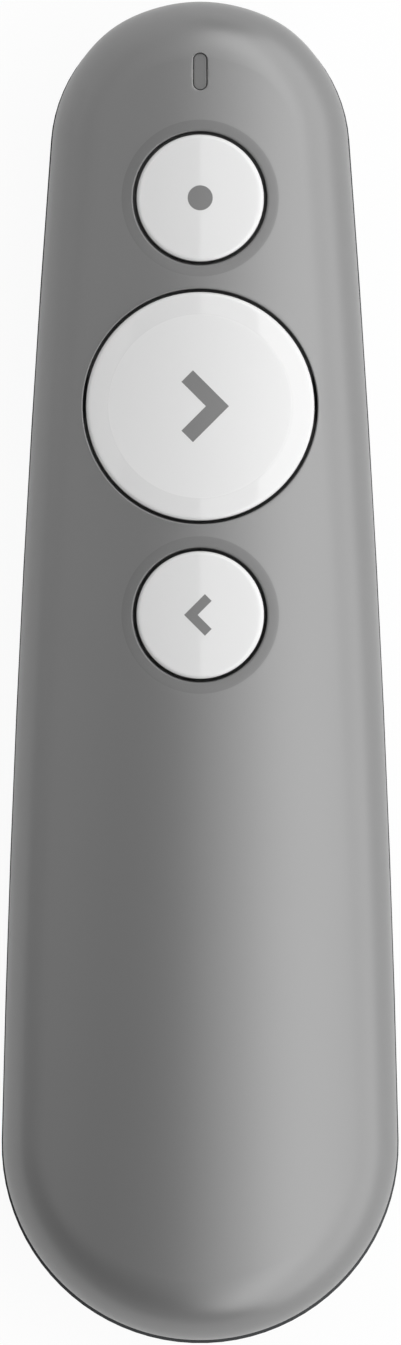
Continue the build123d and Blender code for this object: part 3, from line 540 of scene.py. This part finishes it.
def finish(name, tint, roughness, grain, depth, mottle=0.03, **shader):
    """Material with a grain of a real size and depth in millimetres, and a faint mottle.

    The grain is a noise that raises the surface by its depth, and moves the roughness a little
    either way. The mottle is a coarser noise that scales the colour by its share either way.
    A grain too fine to show, such as metal flake, is drawn as coarse as it needs to be to show.
    """
    made = bpy.data.materials.get(name)
    if made:
        return made
    made = bpy.data.materials.new(name)
    made.use_nodes = True
    tree = made.node_tree
    surface = tree.nodes["Principled BSDF"]
    place = add_node(tree, "ShaderNodeTexCoord").outputs["Object"]
    fine = {"Vector": place, "Scale": 1 / (grain * MM), "Detail": 2.0, "Roughness": 0.6}
    fine = add_node(tree, "ShaderNodeTexNoise", fine).outputs["Fac"]
    coarse = {"Vector": place, "Scale": 1 / MOTTLE_SIZE, "Detail": 3.0}
    coarse = add_node(tree, "ShaderNodeTexNoise", coarse).outputs["Fac"]
    shade = {"Value": coarse, "To Min": 1 - mottle, "To Max": 1 + mottle}
    shade = add_node(tree, "ShaderNodeMapRange", shade).outputs["Result"]
    tinted = {0: tuple(tint), "Scale": shade}
    tinted = add_node(tree, "ShaderNodeVectorMath", tinted, operation="SCALE").outputs["Vector"]
    tree.links.new(tinted, surface.inputs["Base Color"])
    rough = {
        "Value": fine,
        "To Min": roughness - ROUGHNESS_SPREAD,
        "To Max": roughness + ROUGHNESS_SPREAD,
    }
    rough = add_node(tree, "ShaderNodeMapRange", rough).outputs["Result"]
    tree.links.new(rough, surface.inputs["Roughness"])
    bump = {"Height": fine, "Distance": depth * MM, "Strength": 1.0}
    bump = add_node(tree, "ShaderNodeBump", bump).outputs["Normal"]
    tree.links.new(bump, surface.inputs["Normal"])
    for socket, value in shader.items():
        surface.inputs[socket.replace("_", " ").title().replace("Ior", "IOR")].default_value = value
    return made


# Inner pieces keep their CAD shapes. Each row: colour, roughness, grain and its depth in
# millimetres, then what else the shader needs.
INNER_FINISHES = {
    # push-switch housings, glass-filled nylon: dull black with a dry grain
    "switch_black_plastic": ("1c1c1d", 0.55, 0.2, 0.004, {}),
    # acetal plungers: waxy off-white that lets a little light in
    "switch_stem_plastic": ("d8d5cc", 0.35, 0.3, 0.002, {"subsurface_weight": 0.1}),
    # glass-epoxy board under green solder resist: the weave shows faintly through the gloss
    "board_laminate": ("16502e", 0.3, 0.45, 0.006, {"coat_weight": 0.3}),
    # zinc-plated steel screws, cold-headed: a soft grey shine
    "screw_steel": ("9a9c9e", 0.32, 0.15, 0.003, {"metallic": 1.0}),
    # moulded epoxy package: matt black with a fine grain
    "chip_epoxy": ("202123", 0.5, 0.12, 0.003, {}),
    # drawn nickel-plated can of the crystal: a smooth, slightly warm shine
    "crystal_can_steel": ("c3c1bb", 0.22, 0.4, 0.002, {"metallic": 1.0}),
    # fired alumina antenna: chalky white
    "antenna_ceramic": ("e6e3da", 0.45, 0.1, 0.002, {}),
    # fired dielectric of the capacitors: dull tan
    "capacitor_ceramic": ("a98a63", 0.4, 0.1, 0.002, {}),
    # cast clear epoxy of the indicator lamp: glossy and partly see-through
    "led_epoxy": ("dfe9df", 0.15, 0.5, 0.001, {"transmission_weight": 0.6}),
    # turned brass barrel: a yellow shine, broken by the tool's fine marks
    "barrel_brass": ("b58a45", 0.28, 0.15, 0.003, {"metallic": 1.0}),
    # pressed glass lens: clear, with the faintest waviness
    "lens_glass": ("eef4f6", 0.05, 1.0, 0.0005, {"transmission_weight": 1.0}),
    # gold-flashed can of the diode: a smooth yellow shine
    "diode_gilt": ("c9a55a", 0.25, 0.2, 0.002, {"metallic": 1.0}),
    # drawn nickel-plated steel can of a cell: a bright, even shine
    "cell_can_steel": ("b9b8b4", 0.25, 0.5, 0.003, {"metallic": 1.0}),
    # shrunk polymer sleeve of a cell, in one dark colour: a thin gloss over small ripples
    "cell_sleeve_film": ("26313d", 0.3, 0.8, 0.002, {"coat_weight": 0.3}),
    # nickel-plated spring steel of the contacts: a bright shine
    "contact_nickel": ("bdbbb5", 0.24, 0.3, 0.003, {"metallic": 1.0}),
    # drawn nickel-plated shell of the plug: the brightest of the metals
    "plug_nickel": ("c4c3c0", 0.2, 0.4, 0.002, {"metallic": 1.0}),
    # moulded nylon tongue of the plug: satin white
    "tongue_white_plastic": ("dddcd6", 0.4, 0.2, 0.002, {}),
    # polished acrylic of the laser window: red-black and see-through
    "smoked_window": ("4a1c1c", 0.06, 1.0, 0.0004, {"transmission_weight": 0.8}),
    # moulded housing of the receiver: black with a dry grain
    "receiver_black_plastic": ("1d1d1f", 0.5, 0.16, 0.0035, {}),
    # gold-flashed pads: a smooth yellow shine
    "contact_gold": ("d0a24c", 0.22, 0.2, 0.001, {"metallic": 1.0}),
}


def lacquered_grey(context):
    """Sprayed satin lacquer with very fine metal flake over ABS: a broad soft sheen."""
    tint = context.scene.clicker_colours.cover
    name = "satin_flake_lacquer_grey"
    return finish(name, tint, 0.34, 0.16, 0.002, mottle=0.01, metallic=0.45)


def ring_painted_shade_grey(context):
    """The same lacquer with a little less flake, its grey painted darker as shade in the sunk
    rings.
    """
    tint = context.scene.clicker_colours.ring
    name = "satin_flake_lacquer_thin"
    return finish(name, tint, 0.34, 0.16, 0.002, mottle=0.01, metallic=0.4)


def moulded_charcoal(context):
    """ABS from a spark-eroded tool: charcoal, dull, with a dry grain."""
    tint = context.scene.clicker_colours.case
    return finish("moulded_abs_charcoal", tint, 0.52, 0.16, 0.0035, mottle=0.02, ior=1.5)


def bare_dark(context):
    """ABS that the lacquer doesn't reach, on the walls of the button holes: dull and dark."""
    tint = context.scene.clicker_colours.case
    return finish("moulded_abs_unpainted", tint, 0.5, 0.16, 0.0035, mottle=0.02)


def first_shot_grey(context):
    """First shot of the two-shot caps: an even grey, in the inlays, the flange and the cup."""
    tint = context.scene.clicker_colours.inlay
    return finish("moulded_abs_first_shot_grey", tint, 0.3, 0.2, 0.001, mottle=0.01)


def polished_white(context):
    """ABS from a polished tool: clean reflections, with the faint waviness of a moulding."""
    tint = context.scene.clicker_colours.button
    name = "polished_abs_white"
    return finish(name, tint, 0.06, 2.5, 0.0002, mottle=0.004, coat_weight=0.35)


def satin_white(context):
    """The same white from a blasted part of the tool, the large cap's dish: a soft glow."""
    tint = context.scene.clicker_colours.button
    coat = {"coat_weight": 1.0, "coat_roughness": 0.3}
    return finish("satin_abs_white", tint, 0.35, 0.12, 0.0008, mottle=0.004, **coat)


def smoked_clear(context):
    """Polycarbonate with a smoke tint, from a matt tool: grey, and barely see-through."""
    tint = context.scene.clicker_colours.slit
    clear = {"ior": 1.585, "transmission_weight": 0.2}
    return finish("moulded_polycarbonate_smoke", tint, 0.25, 0.3, 0.001, **clear)


# ------------------------------------------------------------------ operators


class ClickerOperator:
    """What every operator here shares."""

    bl_options = {"REGISTER", "UNDO"}


class CLICKER_OT_top_cover(ClickerOperator, bpy.types.Operator):
    """Make the grey cover with its button holes, sunk rings and light slit"""

    bl_idname = "clicker.top_cover"
    bl_label = "Top cover"

    def execute(self, context):
        sizes = context.scene.clicker_sizes
        holes = self.holes(sizes)
        cover = sew("cover_shell", self.shell(sizes, holes))
        cut(cover, sew("slit_cutter", [(self.slit_cutter(sizes), True)]))
        finishes = lacquered_grey(context), bare_dark(context), ring_painted_shade_grey(context)
        finish_piece(cover, "case", ["top_cover"], "cover_grey_plastic", *finishes)
        cover.data.polygons.foreach_set("material_index", self.kinds(sizes, holes, cover))
        return {"FINISHED"}

    @staticmethod
    def kinds(sizes, holes, cover):
        """Finish of each face: 0 is lacquered, 1 bare in the holes, 2 the painted shade of the sunk
        rings.
        """
        x, y, z = face_centres(cover)
        outside = z > crown(sizes, x, y, sizes.wall / 2)[0]
        kind = np.zeros(len(x), np.int32)
        for place_y, radius, ring in holes:
            away = np.hypot(x, y - place_y) - radius
            # outer faces in the sunk rings take the darker grey, which is painted shade for the
            # recess
            kind[outside & (away < ring)] = 2
            kind[away < HOLE_WALL] = 1
        return kind

    @staticmethod
    def holes(sizes):
        """Place, radius and sunk ring's width of each button hole, from the tail to the nose."""
        rings = {name: 0 if name == "next" else sizes.recess_width for name in INLAYS}
        return [
            (BUTTON_Y[name], cap_radius(sizes, name) + sizes.button_gap, rings[name])
            for name in reversed(INLAYS)
        ]

    @staticmethod
    def borders(holes):
        """Where the cells round the holes end: midway between neighbours, and past the end ones."""
        spans = [(place_y, radius + ring) for place_y, radius, ring in holes]
        found = [spans[0][0] - TAIL_CELL * spans[0][1]]
        for (low_y, low), (high_y, high) in zip(spans, spans[1:]):
            found.append((low_y + low + high_y - high) / 2)
        found.append(spans[-1][0] + NOSE_CELL * spans[-1][1])
        return found

    def shell(self, sizes, holes):
        """The cover as patches: its outer skin, its inner skin, and the strips that join them.

        The strips run round each hole and along the parting line.
        """
        outline = cover_outline(sizes)
        insets = (0.0, sizes.wall)
        walls = [rolled_edge(sizes, outline, self.foot(sizes, outline, i), i) for i in insets]
        edge_y = walls[0][:, -1, 1]
        stations = [int(np.argmin(np.abs(edge_y - y))) for y in self.borders(holes)]
        outer, outer_rims = self.skin(sizes, holes, stations, walls[0], insets[0])
        inner, inner_rims = self.skin(sizes, holes, stations, walls[1], insets[1])
        joins = [(np.stack(rims, axis=1), True) for rims in zip(outer_rims, inner_rims)]
        return outer + inner + joins

    def skin(self, sizes, holes, stations, wall, inset):
        """Patches of the skin that lies inset below the outside, and its free rims.

        The wall goes all round. Inside it lie a plain stretch at the tail, one at the nose,
        and a cell with its hole for each button between them.
        """
        edge = wall[:, -1]

        def surface(x, y):
            return crown(sizes, x, y, inset)[0]

        patches = [
            (mirrored(wall), True),
            (laid_across(edge[: stations[0] + 1], surface), False),
            (laid_across(edge[stations[-1] :], surface), False),
        ]
        rims = []
        for (place_y, radius, ring), first, last in zip(holes, stations, stations[1:]):
            offsets, drop = self.rim(sizes, ring, inset)
            loop = cell_loop(edge, first, last)
            cell = holed_cell(loop, place_y, radius, offsets, surface, drop)
            patches.append((cell, True))
            rims.append(cell[:, 0])
        rims.append(mirrored(wall)[:, 0])
        return patches, rims

    def rim(self, sizes, ring, inset):
        """Offsets out from a hole, and depths there: the rounded rim, then the sunk ring if any.

        The inner skin has a sharp rim.
        """
        if inset:
            return np.zeros(1), np.zeros(1)
        offsets, drop = quarter(sizes.hole_edge)
        if ring:
            # points at fixed offsets, until a little past where the ring has faded out
            beyond = np.linspace(0, ring + 1.5 * RING_FADE, RING_STEPS)[1:] + sizes.hole_edge
            offsets = np.concatenate([offsets, beyond])
            drop = np.concatenate([drop, np.zeros(len(beyond))]) + self.sunk(sizes, offsets)
        return offsets, drop

    @staticmethod
    def sunk(sizes, offset):
        """Depth of a sunk ring at a distance from its hole.

        It falls evenly from the full depth at the hole, and a hyperbola eases it out to
        nothing a little past the ring's width.
        """
        reach = sizes.recess_width + RING_FADE
        share = np.clip((reach - offset) / reach, 0, 1)
        eased = np.sqrt(share**2 + RING_EASE**2) - RING_EASE
        return sizes.recess_depth * eased / (sqrt(1 + RING_EASE**2) - RING_EASE)

    @staticmethod
    def slit_cutter(sizes):
        """Block whose upright sides turn round the slit's rim and then flare out and up."""
        radius = sizes.slit_width / 2
        inward, down = quarter(sizes.slit_edge)
        flare = radius + inward[-1] + CUTTER_SPREAD
        rho = np.concatenate([[0, radius], radius + inward, [flare, 0]])
        z = np.concatenate([[-CUTTER_WALLS * sizes.wall] * 2, -down, [CUTTER_RISE] * 2])
        return slot_rings(sizes, rho, z, 0.0)

    @staticmethod
    def foot(sizes, outline, inset):
        """Height of the cover's lower edge: the parting line, arched over the laser window.

        The arch is a circle's upper half: the beam's height plus the root of the squared
        radius less the squared distance from the middle.
        """
        x = (outline[0] - inset * outline[1])[:, 0]
        hole = sizes.window_radius + WINDOW_GAP
        arc = sizes.window_height + np.sqrt(np.maximum(hole**2 - x**2, 0))
        near_nose = outline[0][:, 1] > 0
        return np.where(near_nose & (x < hole), np.maximum(arc, sizes.parting), sizes.parting)


class CLICKER_OT_caps(ClickerOperator, bpy.types.Operator):
    """Make the three white caps and their grey inlays"""

    bl_idname = "clicker.caps"
    bl_label = "Caps and inlays"

    def execute(self, context):
        sizes = context.scene.clicker_sizes
        grey = first_shot_grey(context)
        finishes = polished_white(context), grey, satin_white(context)
        for name, node in INLAYS.items():
            body = f"{name}_button"
            cap = sew(f"{name}_cap", self.cap(sizes, name))
            inlay = sew(f"{name}_inlay", self.inlay(sizes, name))
            finish_piece(inlay, body, [node], "inlay_grey_plastic", grey)
            cut(cap, sew("cutter", self.inlay(sizes, name, MM)))
            finish_piece(cap, body, [f"{name}_button"], "button_white_plastic", *finishes)
            cap.data.polygons.foreach_set("material_index", self.kinds(sizes, name, cap))
        return {"FINISHED"}

    @staticmethod
    def top(sizes, name, lift=0.0):
        """Height of a cap's top over x and y, as a function: the crown raised, and lift more.

        The next cap's dish is a paraboloid: its depth falls off as one less the square of the
        distance from the middle, as a share of the dish's radius.
        """

        def height(x, y):
            z = crown(sizes, x, y, -sizes.button_rise)[0]
            if name == "next":
                share = np.minimum(np.hypot(x, y - BUTTON_Y[name]) / sizes.dish_radius, 1)
                z = z - sizes.dish_depth * (1 - share**2)
            return z + lift

        return height

    def cap(self, sizes, name):
        """Patches of a hollow cap, which are turned profiles that follow its top where it shows.

        From the middle of the top they go out over the rounded rim, down the side and round
        the flange, and inside it up into the cup and down to the boss that stands on the stem.
        """
        centre_y = BUTTON_Y[name]
        radius = cap_radius(sizes, name)
        low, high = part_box(f"{name}_button")
        flange_radius = (high.x - low.x) / 2
        flange_top = low.z + FLANGE
        boss_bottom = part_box(f"{name}_switch_stem")[1].z
        cup_radius = radius - CAP_SIDE
        cup_crown = crown(sizes, np.array(cup_radius), np.array(centre_y))[0]
        cup_top = cup_crown + sizes.button_rise - CAP_TOP
        top = self.top(sizes, name)

        edge_in, edge_down = quarter(sizes.cap_edge, CAP_RIM_STEPS)
        rho = np.linspace(0, radius - sizes.cap_edge, CAP_STEPS)
        if name == "next":
            dish = np.linspace(0, sizes.dish_radius, DISH_STEPS)
            land = np.linspace(sizes.dish_radius, radius - sizes.cap_edge, LAND_STEPS)
            rho = np.concatenate([dish, land[1:]])
        face = turned(rho, 0, centre_y, top)
        rim = turned(radius - edge_in[::-1], -edge_down[::-1], centre_y, top)
        below = [
            (radius, flange_top),
            (flange_radius, flange_top),
            (flange_radius, low.z),
            (cup_radius, low.z),
            (cup_radius, cup_top),
            (BOSS_RADIUS, cup_top),
            (BOSS_RADIUS, boss_bottom),
            (0, boss_bottom),
        ]
        rho, z = np.array(below).T
        under = turned(rho, z, centre_y)
        side = np.stack([rim[:, -1], under[:, 0]], axis=1)
        return [(face, True), (rim, True), (side, True), (under, True)]

    def kinds(self, sizes, name, cap):
        """Finish of each face: 0 is white, 1 the grey first shot far down, 2 satin in the dish."""
        x, y, z = face_centres(cap)
        depth = self.top(sizes, name)(x, y) - z
        in_dish = (name == "next") & (np.hypot(x, y - BUTTON_Y[name]) < sizes.dish_radius)
        return (depth > FIRST_SHOT) + 2 * (in_dish & (depth < DISH_SKIN))

    def inlay(self, sizes, name, lift=0.0):
        """Patches of a cap's inlay, whose top lies flush with the cap's, or lift above it."""
        top = self.top(sizes, name, lift)
        low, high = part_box(INLAYS[name])
        return self.dot(sizes, top, low) if name == "laser" else self.arrow(name, top, low, high)

    @staticmethod
    def dot(sizes, top, low):
        """Patches of a round inlay.

        It starts half a step round, so that no edge of its wall lies along one of the cap's.
        """
        half_step = pi / TURNS
        rho = np.linspace(0, sizes.dot_radius, DOT_STEPS)
        face = turned(rho, 0, BUTTON_Y["laser"], top, half_step)
        base = turned(rho, low.z, BUTTON_Y["laser"], start=half_step)
        wall = np.stack([face[:, -1], base[:, -1]], axis=1)
        return [(face, True), (base, True), (wall, True)]

    @staticmethod
    def arrow(name, top, low, high):
        """Patches of an arrowhead: rows run along its two arms, and columns across their stroke.

        Its outer line runs at 45 degrees from one arm's end to the tip and on to the other's,
        and its inner line lies one stroke behind. Points are spaced evenly along both lines
        and evenly between them.
        """
        side = 1 if name == "next" else -1
        tip = high.x if name == "next" else -low.x
        blunt = low.x if name == "next" else -high.x
        half = (high.y - low.y) / 2
        # the arms end square, so the stroke takes up what the length has beyond half the width
        stroke = tip - half - blunt
        outer = [(tip - half, half), (tip, 0), (tip - half, -half)]
        inner = [(blunt, half - stroke), (tip - 2 * stroke, 0), (blunt, stroke - half)]
        along = np.linspace(0, 2, ARM_STEPS)
        outer, inner = (
            np.stack([np.interp(along, [0, 1, 2], line) for line in zip(*corners)], axis=1)
            for corners in (outer, inner)
        )
        share = np.linspace(0, 1, STROKE_STEPS)[:, None]
        plan = outer[:, None] + share * (inner - outer)[:, None]
        x = side * plan[..., 0]
        y = BUTTON_Y[name] + plan[..., 1]
        face = np.stack([x, y, top(x, y)], axis=-1)
        base = np.stack([x, y, np.full_like(x, low.z)], axis=-1)
        wall = np.stack([border(face), border(base)], axis=1)
        return [(face, False), (base, False), (wall, True)]


class CLICKER_OT_light_slit(ClickerOperator, bpy.types.Operator):
    """Make the smoked lens of the light slit"""

    bl_idname = "clicker.light_slit"
    bl_label = "Light slit"

    def execute(self, context):
        sizes = context.scene.clicker_sizes
        radius = sizes.slit_width / 2 - SLIT_GAP
        edge_in, edge_down = quarter(LENS_EDGE)
        flat = np.linspace(0, radius - edge_in[-1], LENS_STEPS)[:-1]
        rho = np.concatenate([flat, (radius - edge_in)[::-1]])
        drop = np.concatenate([np.zeros(len(flat)), -edge_down[::-1]])
        face = slot_rings(sizes, rho, drop, sizes.slit_recess)
        foot = slot_rings(sizes, np.array([radius, 0]), 0, sizes.slit_recess)
        foot[..., 2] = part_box("led_light_pipe")[0].z
        side = np.stack([face[:, -1], foot[:, 0]], axis=1)
        lens = sew("light_slit_lens", [(face, True), (side, True), (foot, True)])
        finish_piece(lens, "case", ["led_light_pipe"], "smoked_light_pipe", smoked_clear(context))
        return {"FINISHED"}


class CLICKER_OT_lower_shell(ClickerOperator, bpy.types.Operator):
    """Give the lower shell and the battery door their charcoal finish"""

    bl_idname = "clicker.lower_shell"
    bl_label = "Lower shell"

    def execute(self, context):
        for name in ("bottom_case", "battery_door"):
            for place in frame["nodes"][name].material_slots:
                place.material = moulded_charcoal(context)
        return {"FINISHED"}


class CLICKER_OT_inner_pieces(ClickerOperator, bpy.types.Operator):
    """Give the inner pieces, which keep their CAD shapes, their finishes"""

    bl_idname = "clicker.inner_pieces"
    bl_label = "Inner pieces"

    def execute(self, context):
        slots = {row["node"]: row["material_slot"] for row in frame["record"]["subparts"]}
        for name, node in frame["nodes"].items():
            slot = slots.get(name)
            if node.hide_render or slot not in INNER_FINISHES:
                continue
            code, roughness, grain, depth, shader = INNER_FINISHES[slot]
            material = finish(slot, linear(code), roughness, grain, depth, **shader)
            for place in node.material_slots:
                place.material = material
        return {"FINISHED"}


class CLICKER_OT_stage(ClickerOperator, bpy.types.Operator):
    """Set the floor, the room, the lamps and the camera"""

    bl_idname = "clicker.stage"
    bl_label = "Stage"

    def execute(self, context):
        stage = context.scene.clicker_stage
        self.floor(context)
        self.room(context, stage)
        for name, place in LAMPS.items():
            self.lamp(context, name, *place, getattr(stage, name))
        self.camera(context, stage)
        context.scene.view_settings.view_transform = "Standard"
        return {"FINISHED"}

    def camera(self, context, stage):
        """A camera straight above, with the parting line's whole length and the margin in view.

        Its height above that line is the length shown times the focal length, over the
        sensor's width.
        """
        sizes = context.scene.clicker_sizes
        lens = bpy.data.cameras.new("camera")
        lens.lens = stage.lens
        lens.clip_start, lens.clip_end = CAMERA_RANGE
        camera = bpy.data.objects.new("camera", lens)
        shown = sizes.nose_tip - sizes.tail_tip + stage.margin
        distance = shown * stage.lens / lens.sensor_width
        camera.location = (CAMERA_X, 0, sizes.parting + distance)
        context.scene.collection.objects.link(camera)
        context.scene.camera = camera

    def floor(self, context):
        """A pale floor: paint that takes the clicker's shadow, mixed with a white glow.

        From beneath it is see-through, so that the underside can be looked at.
        """
        sides = [(-1, -1), (1, -1), (1, 1), (-1, 1)]
        corners = [(x * FLOOR_REACH, y * FLOOR_REACH, FLOOR_LEVEL) for x, y in sides]
        mesh = bpy.data.meshes.new("floor")
        mesh.from_pydata(corners, [], [(0, 1, 2, 3)])
        floor = bpy.data.objects.new("floor", mesh)
        context.scene.collection.objects.link(floor)
        material = bpy.data.materials.new("painted_floor_white")
        material.use_nodes = True
        tree = material.node_tree
        tree.nodes.remove(tree.nodes["Principled BSDF"])
        paint = add_node(tree, "ShaderNodeBsdfDiffuse", {"Color": (*[FLOOR_PAINT] * 3, 1)})
        glow = add_node(tree, "ShaderNodeEmission", {"Color": (1, 1, 1, 1), "Strength": 1.0})
        top = {0: self.sight_rays(tree), 1: paint.outputs[0], 2: glow.outputs[0]}
        top = add_node(tree, "ShaderNodeMixShader", top)
        clear = add_node(tree, "ShaderNodeBsdfTransparent")
        beneath = add_node(tree, "ShaderNodeNewGeometry").outputs["Backfacing"]
        sided = {0: beneath, 1: top.outputs[0], 2: clear.outputs[0]}
        sided = add_node(tree, "ShaderNodeMixShader", sided)
        tree.links.new(sided.outputs[0], tree.nodes["Material Output"].inputs["Surface"])
        mesh.materials.append(material)

    def seen(self, tree, light):
        """Whether a ray comes from the camera or through glass: the greater of the two flags."""
        seen = {0: light.outputs["Is Camera Ray"], 1: light.outputs["Is Transmission Ray"]}
        return add_node(tree, "ShaderNodeMath", seen, operation="MAXIMUM").outputs[0]

    def sight_rays(self, tree):
        """Share of the floor's glow that a ray meets: nearly all if seen, and less in a sheen."""
        light = add_node(tree, "ShaderNodeLightPath")
        seen = {0: self.seen(tree, light), 1: FLOOR_WHITE}
        seen = add_node(tree, "ShaderNodeMath", seen, operation="MULTIPLY").outputs[0]
        sheen = {0: light.outputs["Is Glossy Ray"], 1: FLOOR_SHEEN}
        sheen = add_node(tree, "ShaderNodeMath", sheen, operation="MULTIPLY").outputs[0]
        return add_node(tree, "ShaderNodeMath", {0: seen, 1: sheen}, operation="MAXIMUM").outputs[0]

    def room(self, context, stage):
        """Pale walls that fade into a darker ceiling, and white where the camera sees them.

        The level falls evenly with the sine of the angle above the horizon.
        """
        world = bpy.data.worlds.new("room")
        context.scene.world = world
        world.use_nodes = True
        tree = world.node_tree
        direction = add_node(tree, "ShaderNodeTexCoord").outputs["Generated"]
        upward = add_node(tree, "ShaderNodeSeparateXYZ", {"Vector": direction}).outputs["Z"]
        level = {
            "Value": upward,
            "From Min": WALLS_END,
            "From Max": CEILING_START,
            "To Min": stage.walls,
            "To Max": stage.ceiling,
        }
        level = add_node(tree, "ShaderNodeMapRange", level).outputs["Result"]
        seen = self.seen(tree, add_node(tree, "ShaderNodeLightPath"))
        strength = add_node(tree, "ShaderNodeMath", {0: level, 1: seen}, operation="MAXIMUM")
        background = tree.nodes["Background"]
        tree.links.new(strength.outputs[0], background.inputs["Strength"])
        background.inputs["Color"].default_value = (1, 1, 1, 1)

    def lamp(self, context, name, bearing, low, high, along, level):
        """A level lamp that faces the clicker and spans two angles off the upright.

        Its width is twice the distance times the tangent of half the span, and its power is
        its radiance times pi times its area.
        """
        light = bpy.data.lights.new(name, "AREA")
        light.shape = "RECTANGLE"
        light.size = 2 * LAMP_DISTANCE * tan(radians(high - low) / 2)
        light.size_y = along
        light.energy = level * pi * light.size * light.size_y
        lamp = bpy.data.objects.new(name, light)
        lean = radians(low + high) / 2
        lamp.rotation_euler = (0, lean, radians(bearing))
        lamp.location = lamp.rotation_euler.to_matrix() @ Vector((0, 0, LAMP_DISTANCE))
        lamp.visible_camera = False
        context.scene.collection.objects.link(lamp)


class CLICKER_PT_panel(bpy.types.Panel):
    """Lists the steps that dress the clicker"""

    bl_idname = "CLICKER_PT_panel"
    bl_label = "Presentation clicker"
    bl_space_type = "VIEW_3D"
    bl_region_type = "UI"
    bl_category = "Clicker"

    def draw(self, context):
        for operator in OPERATORS:
            self.layout.operator(operator.bl_idname)
        scene = context.scene
        for group in (scene.clicker_sizes, scene.clicker_colours, scene.clicker_stage):
            box = self.layout.box()
            for name in group.__annotations__:
                box.prop(group, name)


OPERATORS = (
    CLICKER_OT_top_cover,
    CLICKER_OT_caps,
    CLICKER_OT_light_slit,
    CLICKER_OT_lower_shell,
    CLICKER_OT_inner_pieces,
    CLICKER_OT_stage,
)
GROUPS = {
    "clicker_sizes": ClickerSizes,
    "clicker_colours": ClickerColours,
    "clicker_stage": ClickerStage,
}
CLASSES = (*GROUPS.values(), *OPERATORS, CLICKER_PT_panel)


def register():
    """Registers the classes and puts the property groups on the scene."""
    for made in CLASSES:
        bpy.utils.register_class(made)
    for name, group in GROUPS.items():
        setattr(bpy.types.Scene, name, PointerProperty(type=group))


def unregister():
    """Takes the property groups and the classes away again."""
    for name in GROUPS:
        delattr(bpy.types.Scene, name)
    for made in reversed(CLASSES):
        bpy.utils.unregister_class(made)


def main():
    """Registers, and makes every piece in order."""
    register()
    for operator in OPERATORS:
        group, name = operator.bl_idname.split(".")
        getattr(getattr(bpy.ops, group), name)()


if __name__ == "__main__":
    main()
